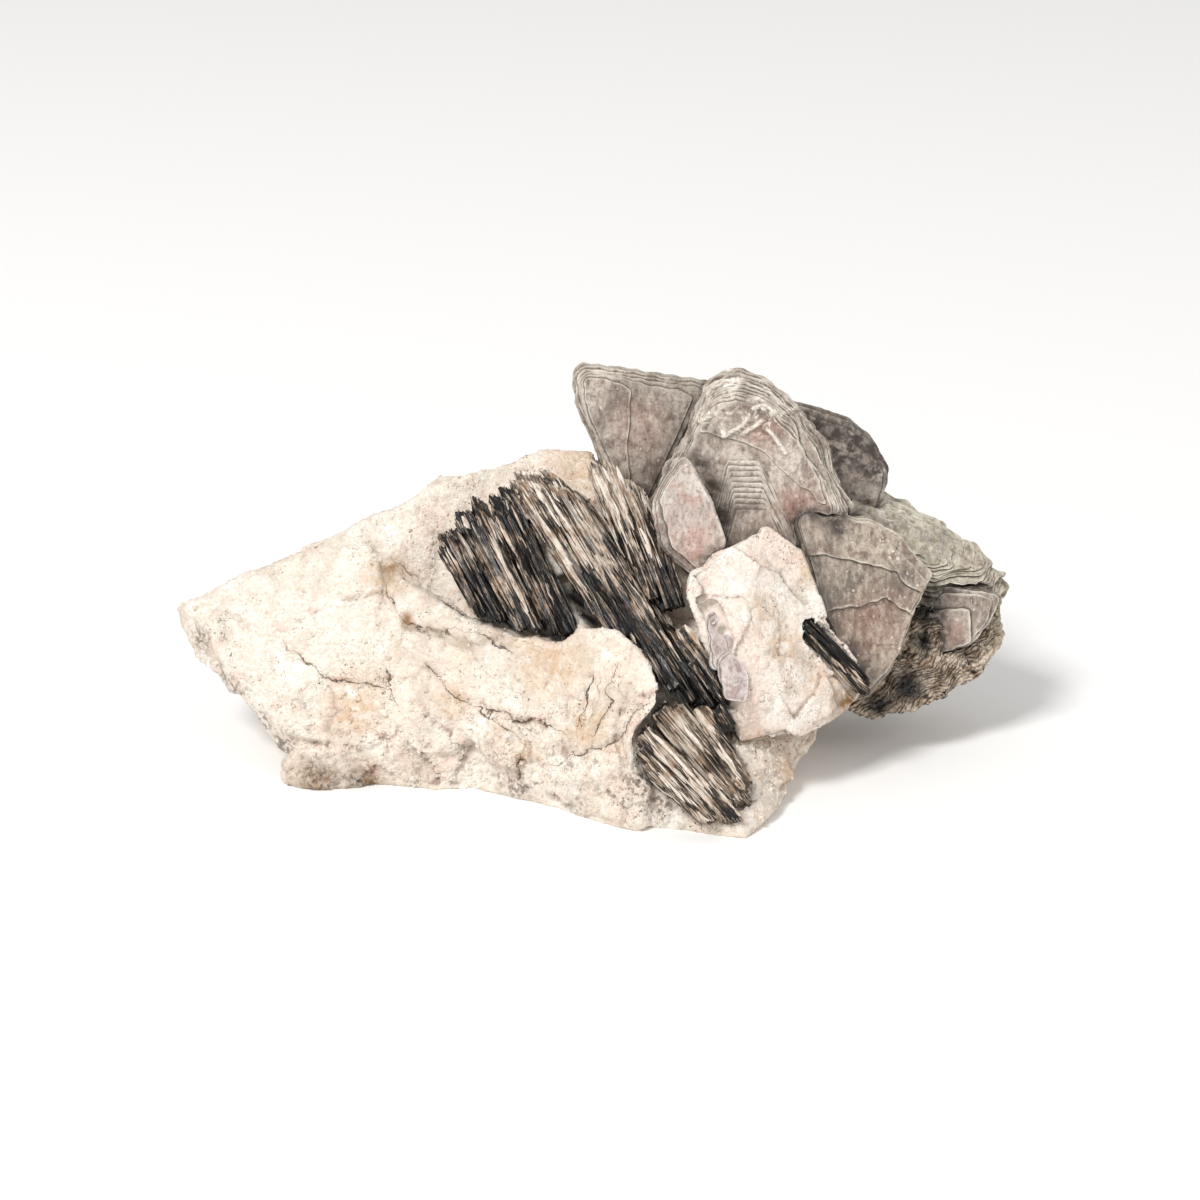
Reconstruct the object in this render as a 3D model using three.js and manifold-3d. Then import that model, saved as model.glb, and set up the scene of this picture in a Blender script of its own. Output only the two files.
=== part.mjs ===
// A natural mineral specimen: white feldspar with a fan of dark tourmaline blades and a group of mica books.
// Units are millimetres, +Z is up, X runs along the specimen and the side with the crystals faces -Y.
// The specimen stands on a trimmed flat face at Z = 0, and its origin is the middle of its box on that face.
import * as THREE from "three";
import { ConvexGeometry } from "three/addons/geometries/ConvexGeometry.js";
import { ImprovedNoise } from "three/addons/math/ImprovedNoise.js";
import { mergeVertices } from "three/addons/utils/BufferGeometryUtils.js";
import Module from "manifold-3d";

const wasm = await Module();
wasm.setup();

// Driving dimensions.
const GAP = 0.35; // air between a crystal and the socket that it grew in
const ROCK_FACET = 17; // longest edge of a facet on the broken feldspar
const ROCK_RELIEF = 1.7; // height of the lumps and hollows on the broken feldspar
const BLOCK_FACET = 13; // longest edge of a facet on the cleavage block
const BLOCK_RELIEF = 0.8; // the cleavage block is smoother than the broken feldspar
const CRUMPLE_FACET = 13; // longest edge of a facet on the crumpled mica
const CRUMPLE_RELIEF = 1.4;
const LUMP = 17; // distance from one lump of broken rock to the next
const KNOB = 7.4; // and from one knob on the lumps to the next
const NOISE_OFFSETS = [11.3, 37.7, 71.9]; // so that x, y and z get unlike shifts
const SWELL = 1.7; // corners move this many gaps, so that the faces between them move at least one
const CHISEL = 0.12; // share of a blade's length that tapers to its end
const SAW = { width: 400, depth: 60 }; // the slab that the trimming saw takes away below Z = 0

// ---- Solids ----

function solidOf(geometry) {
  const bare = geometry.clone();
  bare.deleteAttribute("normal");
  bare.deleteAttribute("uv");
  const merged = mergeVertices(bare, 1e-4);
  return new wasm.Manifold(
    new wasm.Mesh({
      numProp: 3,
      vertProperties: merged.attributes.position.array,
      triVerts: new Uint32Array(merged.index.array),
    }),
  );
}

function geometryOf(solid) {
  const { vertProperties, triVerts } = solid.getMesh();
  const geometry = new THREE.BufferGeometry();
  geometry.setAttribute("position", new THREE.BufferAttribute(vertProperties, 3));
  geometry.setIndex(new THREE.BufferAttribute(triVerts, 1));
  return geometry;
}

function cornersOf(geometry) {
  const { position } = geometry.attributes;
  const corner = (_, i) => new THREE.Vector3().fromBufferAttribute(position, i);
  return Array.from({ length: position.count }, corner);
}

const vector = (point) => (point.isVector3 ? point : new THREE.Vector3(...point));
const hull = (points) => solidOf(new ConvexGeometry(points.map(vector)));
const join = (solids) => solids.reduce((whole, solid) => whole.add(solid));
const cut = (solid, cutters) => cutters.reduce((left, cutter) => left.subtract(cutter), solid);
// A cut can leave crumbs, which the largest body doesn't include.
const largest = (solid) => solid.decompose().reduce((a, b) => (a.volume() > b.volume() ? a : b));

// Moves points out from their middle, for a socket that is a little larger than what sits in it.
function swollen(points, grow) {
  const corners = points.map(vector);
  const middle = corners.reduce((sum, corner) => sum.clone().add(corner)).divideScalar(corners.length);
  const outward = (corner) => corner.clone().sub(middle).setLength(SWELL * grow);
  return corners.map((corner) => corner.clone().add(outward(corner)));
}

// Numbers from 0 to 1 that are the same on every run, from a linear congruential generator.
const SEQUENCE = { multiplier: 1664525, increment: 1013904223, modulus: 2 ** 32 };
function seeded(seed) {
  let state = seed;
  return () => {
    state = (state * SEQUENCE.multiplier + SEQUENCE.increment) % SEQUENCE.modulus;
    return state / SEQUENCE.modulus;
  };
}

// ---- Broken surfaces ----

// The corners and triangles of a solid.
function facesOf(solid) {
  const geometry = geometryOf(solid);
  const { array } = geometry.index;
  const faces = Array.from({ length: array.length / 3 }, (_, i) => Array.from(array.slice(3 * i, 3 * i + 3)));
  return { points: cornersOf(geometry), faces };
}

// Halves the longest edge of every face that is larger than a facet, until none is.
function refined({ points, faces }, facet) {
  const key = (a, b) => (a < b ? `${a},${b}` : `${b},${a}`);
  const turns = ([a, b, c]) => [[a, b, c], [b, c, a], [c, a, b]];
  for (;;) {
    const middles = new Map();
    for (const face of faces) {
      const [[a, b]] = turns(face).sort(
        (s, t) => points[t[0]].distanceTo(points[t[1]]) - points[s[0]].distanceTo(points[s[1]]),
      );
      if (points[a].distanceTo(points[b]) > facet && !middles.has(key(a, b))) {
        middles.set(key(a, b), points.length);
        points.push(points[a].clone().lerp(points[b], 0.5));
      }
    }
    if (!middles.size) return { points, faces };
    faces = faces.flatMap((face) => {
      const startsSplit = ([p, q, r]) => middles.has(key(p, q)) && !middles.has(key(r, p));
      const [a, b, c] = turns(face).find(startsSplit) ?? face;
      const [ab, bc, ca] = [key(a, b), key(b, c), key(c, a)].map((edge) => middles.get(edge));
      if (ab === undefined) return [[a, b, c]];
      if (bc === undefined) return [[a, ab, c], [ab, b, c]];
      if (ca === undefined) return [[a, ab, c], [ab, b, bc], [ab, bc, c]];
      return [[a, ab, ca], [ab, b, bc], [ca, bc, c], [ab, bc, ca]];
    });
  }
}

// Lumps and hollows of a broken surface, as a shift of each corner.
const noise = new ImprovedNoise();
function broken(solid, facet, relief) {
  const { points, faces } = refined(facesOf(solid), facet);
  const shift = (p, offset) =>
    noise.noise(p.x / LUMP + offset, p.y / LUMP, p.z / LUMP) +
    noise.noise(p.x / KNOB, p.y / KNOB + offset, p.z / KNOB) / 2;
  for (const p of points) {
    const [x, y, z] = NOISE_OFFSETS.map((offset) => shift(p, offset));
    p.addScaledVector(new THREE.Vector3(x, y, z), 2 * relief);
  }
  const geometry = new THREE.BufferGeometry().setFromPoints(points);
  geometry.setIndex(faces.flat());
  return solidOf(geometry);
}

// ---- Tourmaline ----

// The side of the specimen that most blades turn their broad sides to.
const FRONT = new THREE.Vector3(0, -1, 0.3);

// The corners of one blade: a flat lozenge bar with a chisel end, and its broad side turned about its length.
function blade({ root, tip, width, thickness, turn }, grow) {
  const length = root.distanceTo(tip);
  const axis = tip.clone().sub(root).normalize();
  const side = axis.clone().cross(FRONT).normalize().applyAxisAngle(axis, turn);
  const out = side.clone().cross(axis);
  const half = width / 2 + SWELL * grow;
  const thick = thickness / 2 + SWELL * grow;
  const at = (distance, s, o) =>
    root.clone().addScaledVector(axis, distance).addScaledVector(side, s).addScaledVector(out, o);
  const ring = (distance) => [
    at(distance, -half, 0.2 * thick),
    at(distance, -0.3 * half, -thick),
    at(distance, half, -0.2 * thick),
    at(distance, 0.3 * half, thick),
  ];
  const edge = [at(length + grow, -0.4 * half, 0), at(0.96 * length + grow, 0.4 * half, 0)];
  return [...ring(-grow), ...ring(length * (1 - CHISEL) + grow), ...edge];
}

// A point at a share of the way along a line of points.
function along(line, share) {
  const place = share * (line.length - 1);
  const index = Math.min(Math.floor(place), line.length - 2);
  return vector(line[index]).clone().lerp(vector(line[index + 1]), place - index);
}

// Blades side by side, from a line of roots to a line of tips, in one or more rows from front to back.
// The socket of a sheaf runs smoothly from blade to blade.
function sheaf({ roots, tips, count, rows, rowStep, width, thickness, ragged, seed }, grow = 0) {
  const random = seeded(seed);
  const spread = (amount) => amount * (2 * random() - 1);
  const columns = Array.from({ length: count }, (_, i) =>
    Array.from({ length: rows }, (_, row) => {
      const share = (i + 0.5 + spread(0.3)) / count;
      const root = along(roots, share);
      const tip = along(tips, share);
      tip.lerp(root, (ragged * random()) / root.distanceTo(tip));
      const behind = row * rowStep + spread(0.25 * thickness);
      root.y += behind;
      tip.y += behind;
      return blade({ root, tip, width: width * (1 + spread(0.25)), thickness, turn: spread(0.5) }, grow);
    }),
  );
  if (grow) return join(columns.slice(1).map((column, i) => hull([...columns[i], ...column].flat())));
  return join(columns.flat().map(hull));
}

// The left fan lies low on the matrix.
const LEFT_SHEAF = {
  roots: [[-27, -14, 42.5], [-17, -18, 40.5], [-4, -21.5, 40]],
  tips: [[-37.5, -2, 56], [-35, 0, 61.5], [-29, 3, 65.5], [-20, 7, 68]],
  count: 8, rows: 2, rowStep: 3, width: 4.8, thickness: 4, ragged: 4, seed: 11,
};

// The main sheaf stands proud of the others and narrows towards the front.
const MIDDLE_SHEAF = {
  roots: [[0, -17, 47], [14, -30, 34], [23, -34, 29], [29, -34, 26]],
  tips: [[-21, 7, 70], [-15, 9, 71.5], [-10, 9, 70.5], [-5, 8, 66]],
  count: 8, rows: 2, rowStep: 3.4, width: 4.8, thickness: 4.6, ragged: 3, seed: 23,
};

// A narrow sheaf beside the small mica book.
const RIGHT_SHEAF = {
  roots: [[13, -16, 47.5], [17, -17, 45], [21, -15, 44.5]],
  tips: [[-2.5, 10, 74], [2, 9, 74], [7, 8, 69], [12, 8, 66]],
  count: 5, rows: 2, rowStep: 2.6, width: 4, thickness: 3.2, ragged: 2, seed: 31,
};

// The sheaf that runs on down to the front of the specimen, where its ends are broken.
const LOWER_SHEAF = {
  roots: [[26, -35, 28], [16, -37, 28], [11, -39.5, 22], [13, -42.5, 13]],
  tips: [[37, -43.5, 9], [37, -46, 5], [34.5, -49, 2.5], [27, -48.5, 3.5]],
  count: 6, rows: 2, rowStep: 3, width: 4.8, thickness: 4.2, ragged: 3, seed: 47,
};

// Cross-broken stubs between the sheaves and the block.
const STUBS = [
  { root: [13, -17, 45], tip: [19, -20, 38], width: 5.5, thickness: 5, turn: 0.2 },
  { root: [16, -21, 41], tip: [26, -25, 37], width: 4.5, thickness: 5, turn: -0.4 },
  { root: [20, -23, 42], tip: [28, -30, 31], width: 6, thickness: 5, turn: 0.5 },
  { root: [23, -28, 36], tip: [30.5, -33, 26], width: 6, thickness: 5, turn: -0.2 },
  { root: [26, -31, 31], tip: [32, -36, 21], width: 5.5, thickness: 5, turn: 0.3 },
  { root: [27, -22, 48], tip: [31, -26, 42], width: 4, thickness: 4, turn: 0.3 },
];

// One dark crystal lies along the block's right edge.
const BLOCK_CRYSTAL = [
  { root: [49.5, -14, 39.5], tip: [65.5, -18.5, 23], width: 3.4, thickness: 3.4, turn: 0.3 },
  { root: [51, -12.5, 40], tip: [66, -16, 24.5], width: 3, thickness: 3, turn: -0.3 },
];

const placedBlades = (blades, grow) =>
  join(blades.map((b) => hull(blade({ ...b, root: vector(b.root), tip: vector(b.tip) }, grow))));

// ---- Mica ----

// Moves each side of an outline out by a distance.
function outset(corners, distance) {
  const sides = corners.map((corner, i) => {
    const next = corners[(i + 1) % corners.length];
    const direction = next.clone().sub(corner).normalize();
    const outward = new THREE.Vector2(direction.y, -direction.x);
    return { start: corner.clone().addScaledVector(outward, distance), direction };
  });
  return sides.map((side, i) => {
    const before = sides[(i + sides.length - 1) % sides.length];
    const offset = side.start.clone().sub(before.start);
    const share = offset.cross(side.direction) / before.direction.cross(side.direction);
    return before.start.clone().addScaledVector(before.direction, share);
  });
}

// A book of sheets. Its outline lies on the front face, with x to the right and y up the face, and runs
// anticlockwise. Each ledge is [how far back it starts, how far its corners are drawn in, shift x, shift y].
// The face is upright at a lean of 0 and looks up at a lean of 90, and a dip lowers its right side.
// The socket of a book is smooth.
function book({ at, yaw, lean, dip = 0, thickness, outline, ledges }, grow = 0) {
  const turn = (degrees) => THREE.MathUtils.degToRad(degrees);
  const place = new THREE.Matrix4()
    .makeTranslation(...at)
    .multiply(new THREE.Matrix4().makeRotationZ(turn(yaw)))
    .multiply(new THREE.Matrix4().makeRotationY(turn(dip)))
    .multiply(new THREE.Matrix4().makeRotationX(turn(90 - lean)));
  const corners = outline.map(([x, y]) => new THREE.Vector2(x, y));
  const reach = Math.max(...corners.map((corner) => corner.length()));
  const sheets = ledges.map(([start, inset, shiftX, shiftY], i) => {
    const end = ledges[i + 1]?.[0] ?? thickness;
    const shift = new THREE.Vector2(shiftX, shiftY);
    const drawnIn = corners.map((corner) => corner.clone().multiplyScalar(1 - inset / reach).add(shift));
    const shape = new THREE.Shape(outset(drawnIn, grow));
    const depth = end - start + 2 * grow;
    return new THREE.ExtrudeGeometry(shape, { depth, bevelEnabled: false }).translate(0, 0, -end - grow);
  });
  if (grow) return hull(sheets.flatMap((sheet) => cornersOf(sheet.applyMatrix4(place))));
  return solidOf(geometryOf(join(sheets.map(solidOf))).applyMatrix4(place));
}

// The tall book in the middle. Its top is rounded where sheet after sheet ends a little lower.
const CENTRE_BOOK = {
  at: [36, 4, 70], yaw: -8, lean: 12, thickness: 17,
  outline: [[-25, -11], [-23.5, -22], [-14, -32], [5, -38], [22, -33], [26, -18], [24.5, -7], [22.5, -1.5],
    [17.5, 9], [11.5, 17], [4, 23], [-3, 25], [-7, 24], [-10, 22], [-13.5, 11]],
  ledges: [[0, 2.6, 0, -3.4], [2, 1.6, 0.4, -1.6], [4.5, 0.7, 0, -0.6], [7, 0, 0, 0], [10, 0.8, -0.6, 0.3],
    [13, 2, -1, -0.8]],
};

// Growth steps on its face, each narrower than the one that it stands on.
const CHEVRON = { middle: 1, top: 7, foot: -23, halfWidth: 3, slant: 0.42, step: 2.3, rise: 0.54, count: 4 };
const chevron = (grow = 0) => {
  const { middle, foot, halfWidth } = CHEVRON;
  const steps = Array.from({ length: CHEVRON.count }, (_, i) => {
    const top = CHEVRON.top - i * CHEVRON.step;
    const footHalf = halfWidth + (top - foot) * CHEVRON.slant;
    const outline = [[middle - footHalf, foot], [middle + footHalf, foot], [middle + halfWidth, top],
      [middle - halfWidth, top]];
    return { ...CENTRE_BOOK, thickness: 1, outline, ledges: [[-(i + 1) * CHEVRON.rise, 0, 0, 0]] };
  });
  return join(steps.map((step) => book(step, grow)));
};
const centreBook = (grow = 0) => book(CENTRE_BOOK, grow).add(chevron(grow));

// The wide book behind it shows on both sides.
const BACK_BOOK = {
  at: [33, 22, 76], yaw: 4, lean: 10, thickness: 12,
  outline: [[-27, -24], [-4, -33], [28, -30], [36, -23], [38.5, -16], [39.5, -10.5], [34.5, -2.5], [30, 1.5],
    [16, 6], [-6, 11.5], [-35.5, 16.5], [-37.5, 14.5], [-36.5, 7], [-31.5, -6]],
  ledges: [[0, 1.2, 0, -1], [2.5, 0.4, 0, 0], [5, 0, 0, 0], [8, 1, 0.6, -0.8], [10, 2.2, -0.5, -1]],
};

const SMALL_BOOK = {
  at: [23, -6, 64], yaw: 14, lean: 8, thickness: 6,
  outline: [[-8, 4.5], [-6, -7], [1, -14], [3.5, -12], [9, -7.5], [7, -1.5], [1, 12.5], [-1, 14],
    [-5.5, 8.5]],
  ledges: [[0, 0.5, 0.2, 0], [1.6, 0, 0, 0], [3.4, 0.5, -0.7, -0.5]],
};

const RIGHT_BOOK = {
  at: [66.7, -6, 43.6], yaw: 10, lean: 22, thickness: 13,
  outline: [[-13, 0], [-7.5, -13.5], [-2, -23], [3, -18], [6.5, -13], [10, -4], [15.5, 4.5], [8, 13.5],
    [0.5, 18.5], [-15.5, 21], [-17.5, 19]],
  ledges: [[0, 0.6, 0, 0], [2, 0, 0.3, 0.2], [4.6, 0.8, -0.4, 0], [7.5, 1.6, 0, -0.6], [10.5, 3, -0.5, -1]],
};

const FAR_RIGHT_BOOK = {
  at: [90, 2, 34], yaw: -12, lean: 10, thickness: 11,
  outline: [[-9.5, -5], [-6, -9], [1.5, -6], [5.5, 0], [7, 6.5], [1, 7.2], [-6.5, 6.5], [-9.5, 1]],
  ledges: [[0, 0.8, 0, 0], [1.8, 0, 0, 0], [4.2, 0.7, 0.8, 0.3], [7.5, 1.4, -0.6, 0.8]],
};

// The grey-green book lies like a shingle, sheets edge-on to the front, and dips to the right.
const GREEN_BOOK = {
  at: [82, 20, 51], yaw: 0, lean: 74, dip: 24, thickness: 15,
  outline: [[-22, -15], [-6, -19], [10, -17], [22, -11], [25, -3], [12, 5], [-6, 10], [-22, 9]],
  ledges: [[0, 4.5, -2, 1.5], [1.8, 2.6, -1, 0.5], [4, 1.2, 0, -0.6], [6.4, 0.2, 0.4, -1],
    [9, 0.8, -0.2, 0.4], [12, 2, -1.2, 1]],
};

// Crumpled dark mica under the right-hand books. It overhangs the ground.
const CRUMPLED_MICA = [
  [60, -6, 14], [69, -6, 11.5], [84, -3, 14.5], [95, 4, 20], [100.5, 9, 27], [100, 11, 37], [84, 4, 38],
  [62, 2, 36], [58, 26, 12], [78, 28, 13], [95, 26, 24], [97, 24, 34], [70, 32, 42], [58, 20, 42],
];
const crumpledMica = (grow) => broken(hull(swollen(CRUMPLED_MICA, grow)), CRUMPLE_FACET, CRUMPLE_RELIEF);

// Lilac flakes in the corner between the stubs and the block.
const FLAKE = { thickness: 1.6, ledges: [[0, 0, 0, 0], [0.8, -0.4, 0.3, 0.4]] };
const FLAKES = [
  {
    ...FLAKE, at: [29.5, -28, 42], yaw: 35, lean: 22,
    outline: [[-3, -6], [1, -7], [4, -1], [2, 6], [-2, 5]],
  },
  {
    ...FLAKE, at: [32.5, -32.5, 34], yaw: 28, lean: 26,
    outline: [[-3, -5], [2, -6], [3.5, 1], [1, 6], [-2.5, 4]],
  },
];
const flakes = (grow) => join(FLAKES.map((flake) => book(flake, grow)));

// ---- Feldspar ----

// The white cleavage block leans against the books.
const BLOCK = [
  [41.4, -6, 62], [49, -6, 55.7], [57.8, -10, 34], [65.5, -16, 23.7], [61, -20, 19.5], [46, -29, 17],
  [35, -34, 17.4], [34.5, -33, 28], [22, -23, 50], [22.6, -20, 55], [28.5, -16, 58], [44, -1, 58],
  [52, 0, 48], [60, 2, 30], [62, -2, 14], [38, -6, 14], [26, -8, 44], [28, -6, 54],
];
const block = (grow) => broken(hull(swollen(BLOCK, grow)), BLOCK_FACET, BLOCK_RELIEF);

// The ground mass: a wedge on the left, a lobe at the front, a toe on the right, and the mass behind them.
const GROUND = {
  wedge: [
    [-103.5, 8, 36.5], [-100, 4, 37.5], [-88, 12, 41.5], [-72, 16, 47.5], [-48, 20, 56], [-28, 22, 65],
    [-98, 4, 25], [-92, 0, 30], [-89.5, 1, 19], [-83, -4, 12.5], [-82, -6, 18], [-77, -12, 7],
    [-73, -14, 10.5], [-62, -20, 8], [-52, -18, -4], [-50, -7, 30], [-30, -16, 22], [-24, -22, -4],
    [-20, 30, 58], [-96, 16, 30], [-82, 24, 26], [-68, 28, 8], [-55, 30, -4], [-20, 38, -4],
  ],
  lobe: [
    [-27, -14, 40], [-22, -18, 39.5], [-3, -22, 39.5], [0, -22, 43], [6, -27, 42], [13, -32, 36],
    [16.5, -36, 31], [12, -40, 20], [11, -42, 8], [9, -45, -4], [-8, -34, -4], [-18, -26, -4],
    [-30, -21, -4], [-31, -17, 20], [-31, 8, 44], [0, 8, 48], [14, -18, 26], [14, -18, -4],
  ],
  toe: [
    [33, -38, 18], [47, -19, 12], [54, -11, 9], [47, -17, 1], [37, -42, 3], [36, -50, 1], [35, -50, -4],
    [10, -43, -4], [10, -38, 9], [22, -38, 16], [44, -16, -4], [46, 10, -4], [40, 0, 24],
  ],
  mass: [
    [-45, 42, -4], [46, 42, -4], [52, 18, -4], [44, -8, -4], [-20, -20, -4], [-62, 34, 18], [-50, 34, 42],
    [-28, 24, 64.5], [-13, 25, 68.5], [0, 25, 69], [6, 32, 65], [30, 34, 56], [56, 30, 38], [58, 10, 20],
    [54, -8, 12], [30, -26, 26], [16, -28, 28], [-20, -8, 42], [-2, 2, 60], [20, 4, 54],
  ],
  foot: [
    [-77, -12, -4], [-75, -19, -4], [-66, -23.5, -4], [-56, -21, -4], [-50, -8, -4], [-74, -17, 8],
    [-62, -22, 11], [-54, -19, 6], [-60, -4, 14],
  ],
};

// The cleaved side looks forward and up.
const CLEAVED_SIDE = new THREE.Vector3(0, -0.72, 0.69);

// Plates that the last break left standing on the cleaved side: [how far they stand proud, corners].
const PLATES = [
  [1.4, [[-47, 4, 44], [-41, 4, 42], [-34, -5, 40], [-24, -15, 38], [-22.5, -18, 36], [-31, -10, 34.5],
    [-39.5, -5, 33], [-46, -3.5, 34.5], [-49.5, 0, 39.5]]],
  [1.1, [[-65, 11, 49.5], [-54, 10, 50.5], [-52, 6, 47], [-51, 2, 42], [-59, 1, 40], [-66, 4, 41.5]]],
  [1.6, [[-46, -19, 13], [-42.5, -17, 17.5], [-36, -17, 20], [-30, -18, 18], [-28, -20, 13], [-34, -20, 9],
    [-42, -21, 8]]],
  [2, [[-29, -18, 18.5], [-19, -25, 18.5], [-15, -27.5, 14], [-17.5, -28, 10], [-25, -23, 8],
    [-29, -20, 10]]],
  [1.5, [[-74, -15.5, 12], [-64, -19, 11.5], [-53, -20, 10], [-46, -18, 14], [-56, -12, 20], [-70, -11, 17]]],
];
const PLATE_ROOT = 5; // depth of a plate's body inside the ground mass
const plate = ([proud, corners]) => {
  const moved = (distance) =>
    corners.map((corner) => vector(corner).clone().addScaledVector(CLEAVED_SIDE, distance));
  return hull([...moved(proud), ...moved(-PLATE_ROOT)]);
};

// A hollow where rock has broken away beside the roots of the main sheaf.
const HOLLOW = [[-13, -12, 52], [-4, -10, 56], [7, -22, 43], [-3, -24, 43], [-8, -2, 46], [5, -10, 36]];

// Open cracks and flutes: [width, depth, line along the surface].
const CRACKS = [
  [1.4, 2.5, [[-38.8, -12, 27.5], [-30, -18, 21.5], [-20, -24, 19.5], [-11, -27, 19]]],
  [1.6, 3, [[1, -31, 29], [-1.5, -33, 22], [0, -36, 15]]],
  [1.8, 3, [[7, -33.5, 28], [5, -35, 21], [8, -39, 13]]],
];
const REACH_OUT = 3; // a crack's cutter starts this far outside the surface
const crack = ([width, depth, line]) => {
  const points = line.map(vector);
  const side = points.at(-1).clone().sub(points[0]).cross(CLEAVED_SIDE).setLength(width / 2);
  const wedge = points.map((point) => {
    const outside = point.clone().addScaledVector(CLEAVED_SIDE, REACH_OUT);
    const bottom = point.clone().addScaledVector(CLEAVED_SIDE, -depth);
    const flare = side.clone().multiplyScalar((REACH_OUT + depth) / depth);
    return [outside.clone().add(flare), outside.clone().sub(flare), bottom];
  });
  return join(wedge.slice(1).map((end, i) => hull([...wedge[i], ...end])));
};

const ground = () => {
  const rock = broken(join(Object.values(GROUND).map(hull)), ROCK_FACET, ROCK_RELIEF);
  const saw = solidOf(new THREE.BoxGeometry(SAW.width, SAW.width, SAW.depth).translate(0, 0, -SAW.depth / 2));
  return cut(join([rock, ...PLATES.map(plate)]), [saw, hull(HOLLOW), ...CRACKS.map(crack)]);
};

// ---- Assembly ----

const FELDSPAR = { color: 0xe9e1d6, roughness: 0.7, metalness: 0 };
const TOURMALINE = { color: 0x2c2826, roughness: 0.4, metalness: 0 };
const MICA = { color: 0x9b928d, roughness: 0.35, metalness: 0.1 };
const GREEN_MICA = { color: 0x86846f, roughness: 0.4, metalness: 0.1 };
const DARK_MICA = { color: 0x5a4c47, roughness: 0.45, metalness: 0.1 };
const LILAC_MICA = { color: 0xb5a3b0, roughness: 0.35, metalness: 0.1 };

// Every piece, the one that grew first at the top.
const PIECES = [
  ["mica_book_small", (grow) => book(SMALL_BOOK, grow), MICA],
  ["mica_book_right", (grow) => book(RIGHT_BOOK, grow), MICA],
  ["mica_book_centre", centreBook, MICA],
  ["mica_book_back", (grow) => book(BACK_BOOK, grow), MICA],
  ["mica_book_far_right", (grow) => book(FAR_RIGHT_BOOK, grow), MICA],
  ["mica_book_green", (grow) => book(GREEN_BOOK, grow), GREEN_MICA],
  ["tourmaline_in_block", (grow) => placedBlades(BLOCK_CRYSTAL, grow), TOURMALINE],
  ["tourmaline_sheaf_middle", (grow) => sheaf(MIDDLE_SHEAF, grow), TOURMALINE],
  ["tourmaline_sheaf_left", (grow) => sheaf(LEFT_SHEAF, grow), TOURMALINE],
  ["tourmaline_sheaf_right", (grow) => sheaf(RIGHT_SHEAF, grow), TOURMALINE],
  ["tourmaline_stubs", (grow) => placedBlades(STUBS, grow), TOURMALINE],
  ["tourmaline_sheaf_lower", (grow) => sheaf(LOWER_SHEAF, grow), TOURMALINE],
  ["mica_flakes", flakes, LILAC_MICA],
  ["feldspar_block", block, FELDSPAR],
  ["mica_base", crumpledMica, DARK_MICA],
  ["feldspar_matrix", ground, FELDSPAR],
];

// Each piece is cut to leave air round those that grew before it, so the ground mass has a socket for each.
const pieces = new THREE.Group();
const sockets = [];
for (const [name, shape, finish] of PIECES) {
  const geometry = geometryOf(largest(cut(shape(0), sockets)));
  geometry.computeVertexNormals();
  const piece = new THREE.Mesh(geometry, new THREE.MeshStandardMaterial(finish));
  piece.name = name;
  pieces.add(piece);
  sockets.push(shape(GAP));
}

// The middle of the specimen's box comes over the origin.
const box = new THREE.Box3().setFromObject(pieces, true);
pieces.position.set(-(box.min.x + box.max.x) / 2, -(box.min.y + box.max.y) / 2, -box.min.z);

const specimen = new THREE.Group();
specimen.add(pieces);

export default specimen;
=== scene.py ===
import math

import bmesh
import bpy
import numpy as np
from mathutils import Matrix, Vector, noise
from mathutils.bvhtree import BVHTree
from mathutils.geometry import delaunay_2d_cdt


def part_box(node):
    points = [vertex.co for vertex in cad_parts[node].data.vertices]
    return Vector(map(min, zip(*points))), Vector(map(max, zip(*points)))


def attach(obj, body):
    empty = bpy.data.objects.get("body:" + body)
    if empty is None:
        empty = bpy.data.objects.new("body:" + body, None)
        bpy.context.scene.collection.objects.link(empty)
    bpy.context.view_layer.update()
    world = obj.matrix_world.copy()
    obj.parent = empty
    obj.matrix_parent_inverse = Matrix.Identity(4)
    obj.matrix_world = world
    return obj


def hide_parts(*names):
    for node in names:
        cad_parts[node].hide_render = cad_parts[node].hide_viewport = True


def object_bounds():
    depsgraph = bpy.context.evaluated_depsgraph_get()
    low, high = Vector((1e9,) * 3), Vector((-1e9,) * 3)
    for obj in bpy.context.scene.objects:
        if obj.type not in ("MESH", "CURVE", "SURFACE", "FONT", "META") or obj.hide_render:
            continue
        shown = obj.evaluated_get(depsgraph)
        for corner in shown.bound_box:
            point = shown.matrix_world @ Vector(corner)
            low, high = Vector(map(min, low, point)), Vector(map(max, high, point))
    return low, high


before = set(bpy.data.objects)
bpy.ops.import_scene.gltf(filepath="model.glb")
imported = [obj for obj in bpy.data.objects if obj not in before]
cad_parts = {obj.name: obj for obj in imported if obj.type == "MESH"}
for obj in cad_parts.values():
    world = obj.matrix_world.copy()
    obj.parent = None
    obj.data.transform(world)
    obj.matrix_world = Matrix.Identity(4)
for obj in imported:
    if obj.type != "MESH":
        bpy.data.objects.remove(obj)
cad_box = [list(corner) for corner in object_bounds()]

# ---- Ground mass ----
# A lump of white microcline feldspar, broken out of a pegmatite vein with a hammer and sawn flat underneath.
# Feldspar cleaves in flat steps, so the surface is chips and ledges with open cracks between them. All the
# crystals grew in it, and it holds them in the sockets that they left.

MM = 0.001
WELD = 0.002 * MM  # how near each other the corners of loose triangles are joined
HALVES = (0.5, 0.5, 0.5)  # the middle of a noise's colour


def merged(node):
    """A copy of a node's mesh with its loose triangles joined along their edges."""
    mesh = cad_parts[node].data.copy()
    solid = bmesh.new()
    solid.from_mesh(mesh)
    bmesh.ops.remove_doubles(solid, verts=solid.verts, dist=WELD)
    solid.to_mesh(mesh)
    solid.free()
    mesh.materials.clear()
    return mesh


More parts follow.
